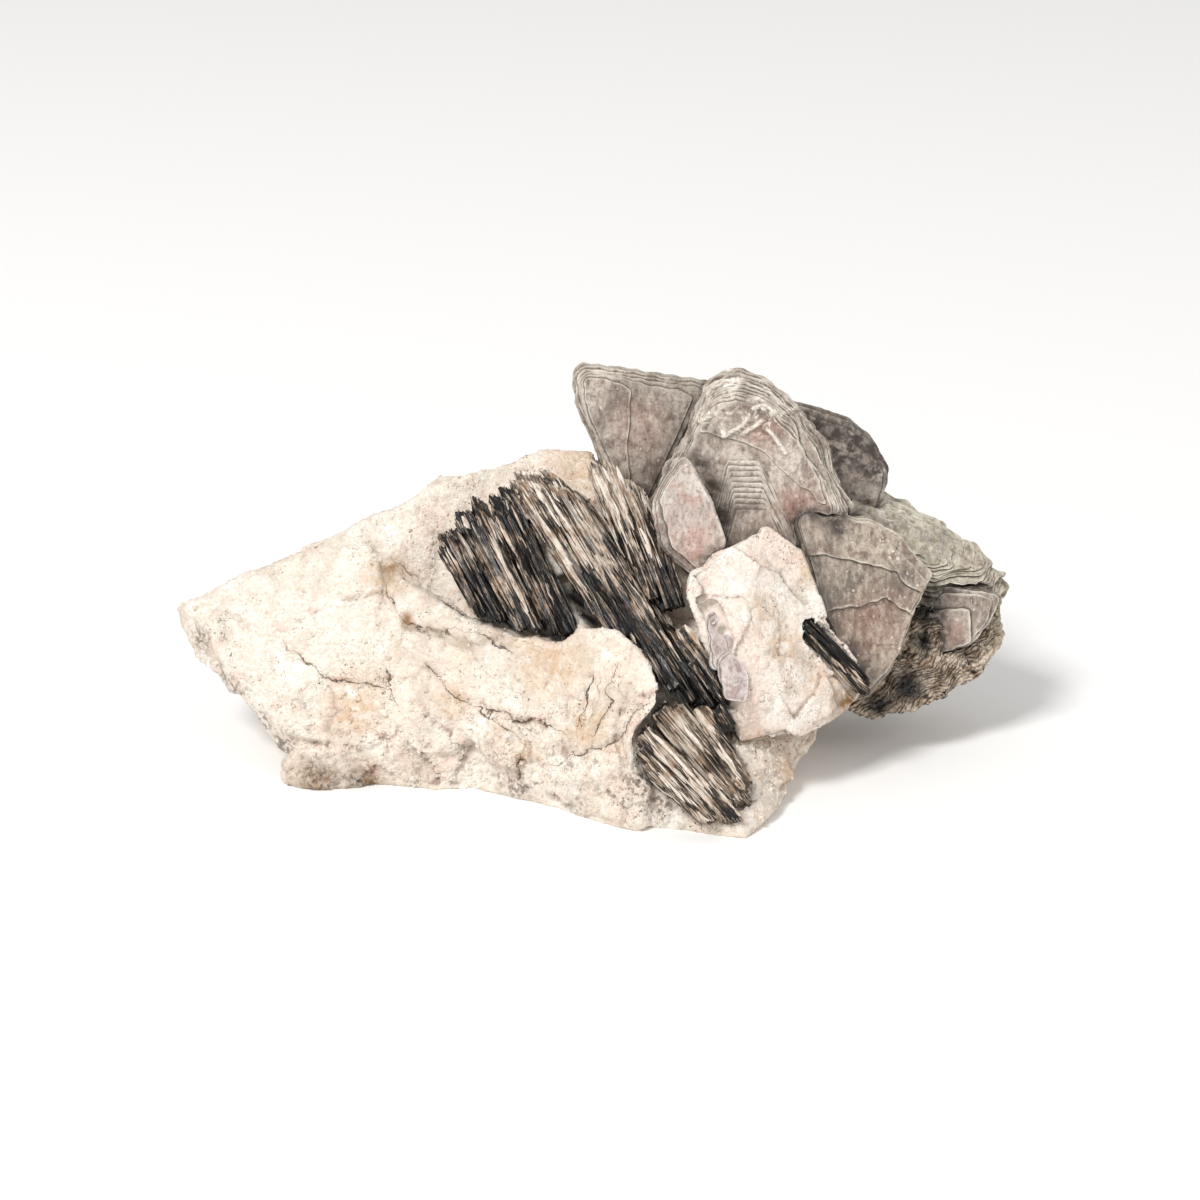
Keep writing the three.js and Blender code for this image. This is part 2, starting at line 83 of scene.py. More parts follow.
def placed(name, mesh):
    """A new object with that mesh, in the scene."""
    made = bpy.data.objects.new(name, mesh)
    bpy.context.scene.collection.objects.link(made)
    return made


def settle(piece):
    """Turns what the piece's modifiers make into its own plain mesh."""
    depsgraph = bpy.context.evaluated_depsgraph_get()
    piece.data = bpy.data.meshes.new_from_object(
        piece.evaluated_get(depsgraph), preserve_all_data_layers=True, depsgraph=depsgraph
    )
    piece.modifiers.clear()


# Short names for the kinds of node that come back most, each with its settings.
KINDS = {
    "mix": ("ShaderNodeMix", {"data_type": "RGBA"}),
    "range": ("ShaderNodeMapRange", {}),
    "noise": ("ShaderNodeTexNoise", {}),
    "attribute": ("ShaderNodeAttribute", {}),
    "xyz": ("ShaderNodeCombineXYZ", {}),
    "split": ("ShaderNodeSeparateXYZ", {}),
    "named": ("GeometryNodeInputNamedAttribute", {"data_type": "FLOAT"}),
    "store": ("GeometryNodeStoreNamedAttribute", {"data_type": "FLOAT", "domain": "POINT"}),
    "move": ("GeometryNodeSetPosition", {}),
    "random": ("FunctionNodeRandomValue", {"data_type": "FLOAT"}),
}
for kind, operations in (
    ("ShaderNodeMath", {
        "+": "ADD", "-": "SUBTRACT", "*": "MULTIPLY", "/": "DIVIDE", "**": "POWER", "<": "LESS_THAN",
        ">": "GREATER_THAN", "min": "MINIMUM", "max": "MAXIMUM", "abs": "ABSOLUTE", "snap": "SNAP",
        "fold": "PINGPONG",
    }),
    ("ShaderNodeVectorMath", {
        "v+": "ADD", "v-": "SUBTRACT", "v*": "MULTIPLY", "dot": "DOT_PRODUCT", "scale": "SCALE",
    }),
):
    KINDS.update({sign: (kind, {"operation": operation}) for sign, operation in operations.items()})


def connect(node, inputs):
    """Sets a node's inputs, by number or name, to values, sockets or the first output of other nodes."""
    for key, value in inputs.items():
        if isinstance(value, bpy.types.Node):
            value = next(output for output in value.outputs if output.enabled)
        if isinstance(value, bpy.types.NodeSocket):
            node.id_data.links.new(value, node.inputs[key])
        else:
            node.inputs[key].default_value = value


def adder(tree):
    """The function that adds a node to this tree, with its settings and links."""

    def add(kind, *values, **others):
        """A new node. The values go to its inputs in turn. Others with a capital are inputs by name, and
        those without are settings."""
        kind, settings = KINDS.get(kind, (kind, {}))
        node = tree.nodes.new(kind)
        for name, value in (settings | {key: others[key] for key in others if key.islower()}).items():
            setattr(node, name, value)
        connect(node, dict(zip([i for i, socket in enumerate(node.inputs) if socket.enabled], values)))
        connect(node, {key.replace("_", " "): others[key] for key in others if not key.islower()})
        return node

    return add


def total(add, values):
    """The sum of several values."""
    so_far = values[0]
    for value in values[1:]:
        so_far = add("+", so_far, value)
    return so_far


def colour(code):
    """An sRGB hex colour in linear light."""
    shares = [int(code[i : i + 2], 16) / 255 for i in (1, 3, 5)]
    return (*(s / 12.92 if s <= 0.04045 else ((s + 0.055) / 1.055) ** 2.4 for s in shares), 1)


def modifier(piece, tree, **inputs):
    """Puts a Geometry Nodes tree on the piece, with its named inputs set."""
    made = piece.modifiers.new(tree.name, "NODES")
    made.node_group = tree
    for item in tree.interface.items_tree:
        key = item.name.lower().replace(" ", "_")
        if item.in_out == "INPUT" and key in inputs:
            made[item.identifier] = inputs[key]


def tree_with(name, **inputs):
    """A Geometry Nodes tree with a geometry going in and out and the named inputs, those inputs' sockets, and
    what adds nodes to it."""
    tree = bpy.data.node_groups.new(name, "GeometryNodeTree")
    for way in ("OUTPUT", "INPUT"):
        tree.interface.new_socket("Geometry", in_out=way, socket_type="NodeSocketGeometry")
    for key, value in inputs.items():
        kind = {int: "NodeSocketInt", float: "NodeSocketFloat"}.get(type(value), "NodeSocketMaterial")
        label = key.replace("_", " ").capitalize()
        socket = tree.interface.new_socket(label, in_out="INPUT", socket_type=kind)
        if value is not None:
            socket.default_value = value
    return tree, tree.nodes.new("NodeGroupInput").outputs, adder(tree)


# Broken rock: lumps, tilted chips of two sizes, ledges, folds and grain, pushed in or out along the surface.
# How far each point went below its surroundings is kept, for the painted shade in the hollows.
broken_rock, given, add = tree_with(
    "Broken rock",
    lump_size=16 * MM, lump_height=1.0 * MM, chip_size=8 * MM, chip_height=0.8 * MM, flake_size=2.6 * MM,
    flake_height=0.35 * MM, grain_size=1.4 * MM, grain_height=0.15 * MM, ledge_size=7 * MM,
    ledge_height=1.6 * MM, fold_size=2.6 * MM, fold_height=0.0, fold_lean=0.0,
)
place = add("GeometryNodeInputPosition")


def rise(add, where, size, height, detail):
    """A soft noise of that size and height, about zero."""
    level = add("-", add("noise", where, add("/", 1.0, size), detail), 0.5)
    return add("*", add("*", level, height), 2.0)


def facets(add, where, size, height):
    """Cells of that size, each tilted its own way."""
    cell = add("ShaderNodeTexVoronoi", Vector=where, Scale=add("/", 1.0, size)).outputs
    slope = add("dot", add("v-", where, cell["Position"]), add("v-", cell["Color"], HALVES))
    return add("*", add("/", slope, size), height)


def warped(add, where, size, reach):
    """The place with each point carried off by a noise."""
    bend = add("noise", where, 1 / size, 3.0).outputs["Color"]
    return add("v+", where, add("scale", bend, reach))


bent = warped(add, place, 9 * MM, 3 * MM)
chips = total(add, [
    rise(add, place, given["Lump size"], given["Lump height"], 1.0),
    facets(add, bent, given["Chip size"], given["Chip height"]),
    facets(add, bent, given["Flake size"], given["Flake height"]),
    rise(add, place, given["Grain size"], given["Grain height"], 2.0),
])
# Ledges are a noise cut into level steps. Folds are a saw-tooth that runs up through the rock, crumpled.
LEDGE_STEP = 0.17
ledges = add("snap", rise(add, bent, given["Ledge size"], 1.0, 2.0), LEDGE_STEP)
ledges = add("*", ledges, given["Ledge height"])


def creases(add, where, size, lean):
    """A saw-tooth from 0 to 0.5 whose folds are that far apart and climb to the right by that much."""
    crumpled = add("split", warped(add, where, 10 * MM, 11 * MM)).outputs
    level = add("-", crumpled["Z"], add("*", crumpled["X"], lean))
    return add("fold", add("/", level, size), 0.5)


folds = add("*", creases(add, place, given["Fold size"], given["Fold lean"]), given["Fold height"])
roughness = add("named", "roughness_here")
height = total(add, [
    add("*", chips, roughness), add("*", ledges, add("named", "ledges_here")), add("*", folds, roughness),
])
smooth = add("GeometryNodeBlurAttribute", Value=height, Iterations=12, data_type="FLOAT")
hollow_shade = add("/", add("-", smooth, height), 0.3 * MM)
marked = add("store", given["Geometry"], Name="hollow_shade", Value=hollow_shade)
add("NodeGroupOutput", add("move", marked, Offset=add("scale", add("GeometryNodeInputNormal"), height)))


def coordinates(piece):
    """The piece's points in millimetres."""
    flat = np.zeros(3 * len(piece.data.vertices), np.float32)
    piece.data.vertices.foreach_get("co", flat)
    return flat.reshape(-1, 3) / MM


def place_points(piece, points):
    """Moves the piece's points to those places in millimetres, none of them lower than what it stands on."""
    points[:, 2] = np.maximum(points[:, 2], 0)
    piece.data.vertices.foreach_set("co", (points * MM).ravel())
    piece.data.update()


def normals(piece):
    """Which way the surface faces at each of the piece's points."""
    flat = np.zeros(3 * len(piece.data.vertices), np.float32)
    piece.data.vertex_normals.foreach_get("vector", flat)
    return flat.reshape(-1, 3)


def keep(piece, name, values, domain="POINT"):
    """Stores a number or a vector at each point of the piece, or at each of its faces."""
    values = np.ascontiguousarray(values, np.float32)
    kind, field = ("FLOAT_VECTOR", "vector") if values.ndim == 2 else ("FLOAT", "value")
    known = piece.data.attributes
    store = known.get(name) or known.new(name, kind, domain)
    store.data.foreach_set(field, values.ravel())


def seams(points, node, reach):
    """How near each point is to another solid of the cluster, from 1 where they touch to 0 at that reach."""
    others = bmesh.new()
    for name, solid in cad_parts.items():
        if name != node:
            others.from_mesh(solid.data)
    tree = BVHTree.FromBMesh(others)
    others.free()
    gaps = np.array([tree.find_nearest(Vector(point))[3] for point in points * MM]) / MM
    return np.clip(1.15 - gaps / reach, 0, 1)


def spots(points, centres):
    """How much of a spot is at each point: 1 in its middle and 0 outside. A spot is [x, y, z, radius]."""
    amount = np.zeros(len(points))
    for *centre, radius in centres:
        away = np.linalg.norm(points - np.array(centre), axis=1) / radius
        amount = np.maximum(amount, np.clip(1.4 * (1 - away), 0, 1))
    return amount


def soft_noise(points, size, seed):
    """Noise from -1 to 1 at each point, with lumps of that size."""
    return np.array([noise.noise(Vector(point) / size + Vector((seed, 0, 0))) for point in points])


def beside(points, lines, facing):
    """How far each point is to one side of the nearest line, and how far from it in all, in millimetres."""
    side, nearest = np.full(len(points), 9.0), np.full(len(points), 1e9)
    for line in lines:
        for a, b in zip(np.array(line[:-1], float), np.array(line[1:], float)):
            along = (b - a) / np.linalg.norm(b - a)
            across = np.cross(along, facing)
            reach = np.clip((points - a) @ along, 0, np.linalg.norm(b - a))
            away = np.linalg.norm(points - a - reach[:, None] * along, axis=1)
            closer = away < nearest
            side[closer] = (points[closer] - a) @ across / np.linalg.norm(across)
            nearest = np.minimum(nearest, away)
    return side, nearest


def rock(name, node, voxel):
    """An evenly meshed copy of a node's solid, ready for its relief."""
    piece = placed(name, merged(node))
    even = piece.modifiers.new("even", "REMESH")
    even.mode, even.voxel_size, even.use_smooth_shade = "VOXEL", voxel, True
    settle(piece)
    return piece


# Open cracks on the cleaved side, as points in millimetres along them.
CRACKS = [
    [(-49.4, 4.8, 40.4), (-47.5, 0.7, 38.4), (-45.5, -1.3, 35.8), (-39.4, -4.7, 35.4), (-32, -9.3, 37.6),
     (-27.1, -12.4, 37.6), (-21.1, -15.7, 35.9)],
    [(-47.6, 10.3, 46.8), (-43.5, 9.6, 44.2), (-39.7, 4.3, 42.7), (-33.3, -3.7, 41.2), (-27.2, -8.2, 40)],
    [(-49.2, -8.7, 24.5), (-47.7, -10.9, 20.4)],
    [(-38.5, -7.5, 25.7), (-35.1, -12.6, 24), (-31.8, -13.6, 21.8), (-24.1, -17.2, 20.3),
     (-18.5, -19.9, 18.9), (-12.8, -21.5, 18), (-8.5, -26, 19.5)],
    [(-72.9, -1.4, 29.6), (-68.5, -3.7, 26.7), (-65, -6, 24.8), (-60, -8, 24), (-49.9, -9.5, 22.6)],
    [(4.2, -27.6, 33.3), (2.8, -28.1, 30.5), (4, -29.2, 27.9), (2.1, -29.5, 24.9), (0.9, -30, 22.1)],
    [(-0.5, -26.6, 31.9), (-1.6, -27.5, 28.1), (-2.6, -28.1, 24.4)],
    [(-28.2, -14.3, 20.3), (-24, -19.8, 18.6), (-19.4, -23.1, 18), (-16.1, -25.3, 14.8), (-17.6, -23.2, 7.6)],
    [(-8, -28.2, 12.5), (-3.3, -30.7, 15.7), (1.4, -32.4, 17.5), (6.5, -32.7, 20.2), (10.7, -32.4, 26.7)],
]
CLEAVED_SIDE = (0, -0.72, 0.69)
# Places stained by iron; tan places, partly a stain and partly painted shade; and grey specks along the
# lower-left edge with painted shade low down and beside the lower sheaf, in that order: [x, y, z, radius].
OCHRE = [(-66, -15, 1, 10), (-56, -15, 1, 8), (-49, 9, 46, 4), (-22, -17, 39, 5), (-45, -1, 37, 3)]
TAN = [(-8, 12, 68, 13), (2, 24, 68, 16), (4, -8, 55, 10), (-50, 7, 46, 9), (-34, -14, 21, 6),
       (45, -22, 8, 6), (-16, -28, 14, 5), (-10, -20, 33, 13), (-58, -10, 18, 12), (-3, -30, 22, 9)]
SHADE_AND_SPECKS = [(12, -38, 12, 9), (17, -38, 8, 7), (-96, 6, 29, 5), (-91, 1, 22, 4), (-88, -2, 20, 4),
         (-80, -7, 13, 4), (-75, -11, 9, 5), (-18, -22, 4, 6), (-2, -30, 3, 6),
         (-66, -17, 2, 6), (-57, -17, 1, 5)]
# Gaps between the crystals, painted black as shadow: [x, y, z, radius].
SHADOWED_GAPS = [(-3, -2, 43, 9), (0, -9, 42, 8), (9, -4, 52, 8), (16, -8, 48, 9), (18, -14, 43, 9), (24, -30, 28, 6),
        (16, -36, 16, 7)]

matrix = rock("matrix_rock", "feldspar_matrix", 0.77 * MM)
points = coordinates(matrix)
off_floor = np.clip(points[:, 2] / 1.5, 0, 1)
crumbly = np.clip((26 - points[:, 2]) / 12, 0, 1) * np.clip((points[:, 0] + 84) / 14, 0, 1)
rough = np.clip(1 - 1.6 * (normals(matrix) @ np.array(CLEAVED_SIDE)), 0, 1)
hammered = np.clip(2 * normals(matrix)[:, 1] - 0.4, 0, 1)
keep(matrix, "roughness_here", (0.7 + 0.45 * np.maximum(crumbly, rough) + 0.8 * hammered) * off_floor)
keep(matrix, "ledges_here", (0.15 + 0.85 * np.maximum(crumbly, 0.7 * rough)) * off_floor)
modifier(
    matrix, broken_rock, lump_height=1.2 * MM, chip_size=11 * MM, chip_height=1.7 * MM, flake_size=3.6 * MM,
    flake_height=0.6 * MM,
)
settle(matrix)

# Each crack wanders, gapes in places and is shut in others, and one of its lips stands a little lower.
points = coordinates(matrix)
CRACK_REACH, CRACK_FADE = 4, 2.5  # how far from a crack it is felt, and over what width that fades, in mm
side, away = beside(points, CRACKS, CLEAVED_SIDE)
near = np.clip((CRACK_REACH - away) / CRACK_FADE, 0, 1)
beside_crack = near > 0
side[beside_crack] += 1.3 * soft_noise(points[beside_crack], 3.4, 5)
gape = np.zeros(len(points))
gape[beside_crack] = np.clip(0.55 + 1.1 * soft_noise(points[beside_crack], 4.5, 9), 0.2, 1)
lip = np.where(side > 0, np.exp(-np.abs(side) / 2.5), 0)
sunk = near * gape * (0.7 * np.exp(-((side / 0.5) ** 2)) + 0.5 * lip)
place_points(matrix, points - sunk[:, None] * normals(matrix))
points = coordinates(matrix)
keep(matrix, "crack_side", side)
keep(matrix, "crack_near", near * gape)
for name, places in (("ochre", OCHRE), ("tan", TAN), ("shade", SHADE_AND_SPECKS)):
    keep(matrix, name, spots(points, places))
# Painted shadow in the gaps between the crystals, and fainter painted shade where the matrix meets them.
keep(matrix, "deep", np.maximum(spots(points, SHADOWED_GAPS), 0.3 * seams(points, "feldspar_matrix", 1.6)))
keep(matrix, "chips_here", np.clip(points[:, 2] / 3, 0, 1) * (0.15 + crumbly))


def finish_of(name, roughness, ior, metallic=0.0):
    """A new material, what adds nodes to it, and its shader."""
    made = bpy.data.materials.new(name)
    made.use_nodes = True
    made.node_tree.nodes.clear()
    add = adder(made.node_tree)
    shader = add("ShaderNodeBsdfPrincipled", Roughness=roughness, IOR=ior, Metallic=metallic)
    add("ShaderNodeOutputMaterial", shader)
    return made, add, shader


def painted(add, base, layers):
    """A colour with others laid over it in turn. A layer is how much of it there is, from 0 to 1, or a
    pattern and the range of it that gives that, and then its colour."""
    for *share, top in layers:
        share = add("range", *share) if len(share) > 1 else share[0]
        base = add("mix", share, base, colour(top) if isinstance(top, str) else top)
    return base


def bumps(add, layers):
    """A normal with several reliefs laid over each other: [height from 0 to 1, its depth in metres]."""
    under = {}
    for relief, depth in layers:
        under = {"Normal": add("ShaderNodeBump", Height=relief, Distance=depth, Strength=1.0, **under)}
    return under["Normal"]


# Microcline feldspar, cleaved and weathered. White to cream with a flush of pink, a satin glint on fresh
# cleavages, sugary where it is bruised, and rusty beside its cracks. Brown painted shade darkens its pits,
# hollows, undercuts and open cracks, and painted shadow blackens the gaps between the crystals.
def feldspar_finish(name, white, cream, blush):
    made, add, shader = finish_of(name, 0.55, 1.53)
    where = add("ShaderNodeTexCoord").outputs["Object"]
    broad, patches, sugar, grit, cloudy, fringe, swarms, pores, speckle, wander = (
        add("noise", where, 1 / (size * MM), detail, roughness, Distortion=distortion)
        for size, detail, distortion, roughness in (
            (20, 5, 0.3, 0.5), (5, 6, 0.2, 0.6), (1, 3, 0, 0.6), (0.4, 2, 0, 0.5), (9, 6, 0.3, 0.66),
            (2.6, 5, 0.3, 0.6), (7, 5, 0, 0.5), (0.6, 3, 0, 0.5), (1.2, 3, 0, 0.5), (1, 3, 0, 0.5),
        )
    )
    tan, ochre, hollow_shade, shade, deep, side, gape = (
        add("attribute", attribute_name=kept).outputs["Fac"]
        for kept in ("tan", "ochre", "hollow_shade", "shade", "deep", "crack_side", "crack_near")
    )
    # Iron stain soaks in along the grain, in broken patches.
    ragged = add("range", fringe, 0.38, 0.6)
    # Pits a few tenths of a millimetre across, in swarms, painted dark as the shade in them.
    pit = add("*", add("range", pores, 0.62, 0.72), add("range", swarms, 0.52, 0.64))
    darkened = add("*", shade, add("range", add("range", speckle, 0.47, 0.58), 0, 1, 0.15, 1))
    # The open cracks are a hair wide to half a millimetre, painted dark inside as shade, and rusty beside it.
    offset = add("abs", add("+", side, add("range", wander, 0.3, 0.7, -0.3, 0.3)))
    opened = add("-", add("range", gape, 0.2, 1.0, -0.02, 0.14), offset)
    opened = add("*", add("range", opened, -0.1, 0.04), add("range", gape, 0.02, 0.3))
    rust = add("*", add("range", offset, 1.2, 0.1), gape)
    base = add("mix", add("range", broad, 0.4, 0.6), colour(white), colour(cream))
    base = painted(add, base, [
        (patches, 0.52, 0.66, 0, 0.8, blush),
        (patches, 0.44, 0.32, "#fbf5ec"),
        # Clear grains show what is under them, so the rock is freckled with grey and tan.
        (sugar, 0.52, 0.75, 0, 0.4, "#bda994"),
        (sugar, 0.45, 0.3, 0, 0.6, "#fbf6ee"),
        (add("*", add("range", cloudy, 0.5, 0.68), 0.7), "#cabba9"),
        # Tan: partly a stain, partly painted shade behind the sheaves and in a hollow.
        (add("*", tan, add("range", ragged, 0, 1, 0.15, 0.8)), "#d2b291"),
        (add("*", ochre, add("range", ragged, 0, 1, 0.45, 1)), "#8f6a3e"),
        (add("*", pit, 0.75), "#75665b"),
        # Painted shade in the hollows of the relief.
        (hollow_shade, 0.4, 2.2, 0, 0.75, "#97796a"),
        # Painted shade low down and in undercuts, with grey specks.
        (add("*", darkened, 0.8), "#5a4e46"),
        # Painted shadow in the gaps between the crystals.
        (deep, "#1c1511"),
        (add("*", rust, add("range", ragged, 0, 1, 0.1, 0.6)), "#b08d6c"),
        # Painted shade inside the open cracks.
        (add("*", opened, 0.8), "#4b3b31"),
    ])
    cleaved = facets(add, warped(add, where, 4 * MM, 2 * MM), 3.2 * MM, 1.0)
    chipped = facets(add, warped(add, where, 2 * MM, 1 * MM), 1.1 * MM, 1.0)
    closed = add("-", 1.0, add("max", opened, pit))
    connect(shader, {
        "Base Color": base, "Roughness": add("range", sugar, 0.35, 0.7, 0.4, 0.75),
        "Normal": bumps(add, [
            (cleaved, 1.0 * MM), (chipped, 0.3 * MM), (patches, 1.2 * MM), (sugar, 0.35 * MM),
            (grit, 0.15 * MM), (closed, 0.4 * MM),
        ]),
    })
    return made


feldspar = feldspar_finish("Cleaved feldspar", "#efe5d8", "#e9dac8", "#e9cfbf")
matrix.data.materials.append(feldspar)
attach(matrix, "root")
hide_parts("feldspar_matrix")

# ---- Crumbs ----
# Chips of feldspar, up to 2 mm across, that the hammer left loose. They cling to the ground mass, most of
# them along its crumbly lower part.

scattered_chips, given, add = tree_with(
    "Scattered chips", per_square_centimetre=20.0, smallest=0.5 * MM, largest=1.8 * MM, flatness=0.6,
    tilt=3.0, seed=1, finish=None,
)
SQUARE_METRE = 1e4  # in square centimetres
density = add("*", add("*", given["Per square centimetre"], SQUARE_METRE), add("named", "chips_here"))
thrown = add(
    "GeometryNodeDistributePointsOnFaces", Mesh=given["Geometry"], Density=density, Seed=given["Seed"]
).outputs
size = add("*", add("random", 0.0, 1.0, Seed=3), add("random", 0.0, 1.0, Seed=4))
size = add("range", size, To_Min=given["Smallest"], To_Max=given["Largest"])
narrow = add("*", size, add("random", 0.55, 1.0, Seed=5))
sizes = add("xyz", size, narrow, add("*", size, given["Flatness"]))
leans = [add("*", add("random", -0.5, 0.5, Seed=seed), given["Tilt"]) for seed in (7, 8)]
turns = add("FunctionNodeEulerToRotation", add("xyz", *leans, add("random", -3.0, 3.0, Seed=9)))
turned = add("FunctionNodeRotateRotation", thrown["Rotation"], turns, rotation_space="LOCAL")
chip = add("GeometryNodeMeshCylinder", Vertices=6, Side_Segments=1, Radius=0.5, Depth=1.0)
loose = add(
    "GeometryNodeInstanceOnPoints", Points=thrown["Points"], Instance=chip, Rotation=turned, Scale=sizes
)
uneven = add("noise", add("GeometryNodeInputPosition"), 1 / (0.6 * MM), 1.0).outputs["Color"]
broken = add(
    "move", add("GeometryNodeRealizeInstances", loose),
    Offset=add("scale", add("v-", uneven, HALVES), given["Smallest"]),
)


def end_tree(add, geometry, finish):
    """Ends a tree with flat faces that have the finish."""
    flat = add("GeometryNodeSetShadeSmooth", geometry, Shade_Smooth=False)
    add("NodeGroupOutput", add("GeometryNodeSetMaterial", flat, Material=finish))


end_tree(add, broken, given["Finish"])


def chips_on(piece, name, **inputs):
    """A piece of loose chips that lie over another piece, more of them where it says chips_here."""
    made = placed(name, piece.data.copy())
    modifier(made, scattered_chips, **inputs)
    settle(made)
    place_points(made, coordinates(made))
    return made


crumbs = chips_on(
    matrix, "feldspar_crumbs", per_square_centimetre=22.0, flatness=0.6, seed=1, finish=feldspar
)
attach(crumbs, "root")

# ---- Cleavage block ----
# A clean cleavage block of the same feldspar that leans against the mica books. Its faces are nearly flat,
# its edges are chipped, and the iron stain comes in at its lower right corner.

block = rock("block_rock", "feldspar_block", 0.5 * MM)
keep(block, "roughness_here", np.full(len(block.data.vertices), 0.75))
keep(block, "ledges_here", np.full(len(block.data.vertices), 0.35))
modifier(
    block, broken_rock, lump_size=12 * MM, lump_height=1.5 * MM, chip_size=11 * MM, chip_height=3.8 * MM,
    flake_size=3.6 * MM, flake_height=0.6 * MM, grain_height=0.12 * MM, ledge_size=11 * MM,
)
settle(block)
lowest, highest = (np.array(corner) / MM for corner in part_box("feldspar_block"))
right, bottom, top = highest[0], lowest[2], highest[2]
points = coordinates(block)
keep(block, "ochre", spots(points, [
    (61, -16, 21, 7), (right - 4, -15, bottom + 5, 9), (right - 9, -16, bottom + 2, 5),
]))
keep(block, "tan", spots(points, [
    (right - 26, -14, top - 18, 8), (right - 12, -14, bottom + 12, 10), (right - 20, -18, bottom + 24, 8),
    (right - 14, -4, top - 10, 6), (right - 30, -28, bottom + 2, 7),
]))
# Two spots of painted shade.
keep(block, "shade", spots(points, [(right - 22, -26, bottom, 5), (right - 31, -24, top - 31, 4)]))
block.data.materials.append(feldspar_finish("Fresh feldspar", "#f7eee3", "#efdccd", "#edd2c4"))
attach(block, "root")
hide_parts("feldspar_block")

# ---- Tourmaline ----
# Black tourmaline that grew as sheaves of long blades, split lengthwise into splinters. Every sheaf is a core
# of solid crystal with splinters all over it that run the way that its blades run. Pale mica and stain sit
# between the splinters, more of it towards the open ends.

splintered, given, add = tree_with(
    "Splintered crystal",
    cover=2.9, width=0.65 * MM, thickness=0.4 * MM, shortest=2 * MM, longest=15 * MM, seed=1, finish=None,
)
each = add("*", given["Width"], add("*", given["Longest"], 0.5))
thrown = add(
    "GeometryNodeDistributePointsOnFaces", Mesh=given["Geometry"], Density=add("/", given["Cover"], each),
    Seed=given["Seed"],
).outputs
grain, out = (add("named", kept, data_type="FLOAT_VECTOR") for kept in ("grain", "outward"))
facing_out = add("store", thrown["Points"], Name="outward", Value=thrown["Normal"], data_type="FLOAT_VECTOR")
end_on = add(">", add("abs", add("dot", out, grain)), 0.75)
lying = add("GeometryNodeDeleteGeometry", facing_out, end_on, domain="POINT")
deep = add("store", lying, Name="depth", Value=add("random", 0.1, 1.1, Seed=3))
sunk = add("move", deep, Offset=add("scale", out, add("*", add("named", "depth"), -MM)))
# A splinter runs both ways from its point, no further than the crystal does.
for name, turn, seed in (("reach_up", 1.0, 5), ("reach_down", -1.0, 7)):
    way = add("scale", grain, turn)
    ray = add(
        "GeometryNodeRaycast", Target_Geometry=given["Geometry"], Ray_Direction=way, Ray_Length=0.2
    ).outputs
    free = add("*", ray["Hit Distance"], add(">", add("dot", ray["Hit Normal"], way), 0.0))
    wanted = add("random", 0.0, 1.0, Seed=seed)
    wanted = add("range", add("*", wanted, wanted), To_Min=given["Shortest"], To_Max=given["Longest"])
    sunk = add("store", sunk, Name=name, Value=add("min", free, wanted))
up, down = (add("named", kept) for kept in ("reach_up", "reach_down"))
length = add("+", up, down)
too_short = add("<", length, given["Shortest"])
long_enough = add("GeometryNodeDeleteGeometry", sunk, too_short, domain="POINT")
centred = add("move", long_enough, Offset=add("scale", grain, add("*", add("-", up, down), 0.5)))
sized = add("store", centred, Name="length", Value=add("+", length, 0.4 * MM))
shaded = add("store", sized, Name="tone", Value=add("random", 0.0, 1.0, Seed=11))
# One splinter: a bar with five sides that tapers to both ends, and remembers where along itself it is.
spot = add("GeometryNodeInputPosition")
bar = add("GeometryNodeMeshCylinder", Vertices=5, Side_Segments=4, Radius=0.5, Depth=1.0)
bar = add("store", bar, Name="in_bar", Value=spot, data_type="FLOAT_VECTOR")
taper = add("**", add("abs", add("*", add("split", spot).outputs["Z"], 2.0)), 4.0)
taper = add("*", taper, -0.75)
bar = add("move", bar, Offset=add("v*", spot, add("xyz", taper, taper)))
facing = add(
    "FunctionNodeAxesToRotation", Primary_Axis=grain, Secondary_Axis=out, primary_axis="Z", secondary_axis="X"
)
leans = [add("random", -most, most, Seed=seed) for most, seed in ((0.05, 23), (0.05, 29), (0.8, 13))]
rolled = add("FunctionNodeEulerToRotation", add("xyz", *leans))
rolled = add("FunctionNodeRotateRotation", facing, rolled, rotation_space="LOCAL")
broad = add("+", add("*", add("**", add("random", 0.0, 1.0, Seed=19), 3.0), 2.4), 0.45)
thick = add("*", given["Thickness"], add("random", 0.6, 1.6, Seed=17))
stretch = add("xyz", thick, add("*", given["Width"], broad), add("named", "length"))
bars = add("GeometryNodeInstanceOnPoints", Points=shaded, Instance=bar, Rotation=rolled, Scale=stretch)
uneven = add("noise", spot, 1 / (1.6 * MM), 1.0).outputs["Color"]
split = add(
    "move", add("GeometryNodeRealizeInstances", bars),
    Offset=add("scale", add("v-", uneven, HALVES), 0.7 * MM),
)
core = add("move", given["Geometry"], Offset=add("scale", add("GeometryNodeInputNormal"), -0.45 * MM))
whole = add("GeometryNodeJoinGeometry", split)
connect(whole, {0: core})
end_tree(add, whole, given["Finish"])


def blade_directions(mesh, shortest, spread):
    """The direction that the blades run in at each point of a sheaf, from the long edges of its solid."""
    spots_on = np.array([vertex.co for vertex in mesh.vertices]) / MM
    ends = spots_on[np.array([edge.vertices for edge in mesh.edges])]
    span = ends[:, 1] - ends[:, 0]
    length = np.linalg.norm(span, axis=1)
    long = length > shortest
    middle, along, length = ends[long].mean(axis=1), span[long] / length[long, None], length[long]
    main = np.linalg.eigh((along * length[:, None]).T @ along)[1][:, -1]
    main *= np.sign(main[2])
    along *= np.sign(along @ main)[:, None]
    true = along @ main > spread
    middle, along, length = middle[true], along[true], length[true]
    away = np.linalg.norm(spots_on[:, None] - middle[None], axis=2)
    weight = length[None] / (away**2 + 4)
    blend = weight @ along
    return blend / np.linalg.norm(blend, axis=1)[:, None], (spots_on - spots_on.mean(axis=0)) @ main
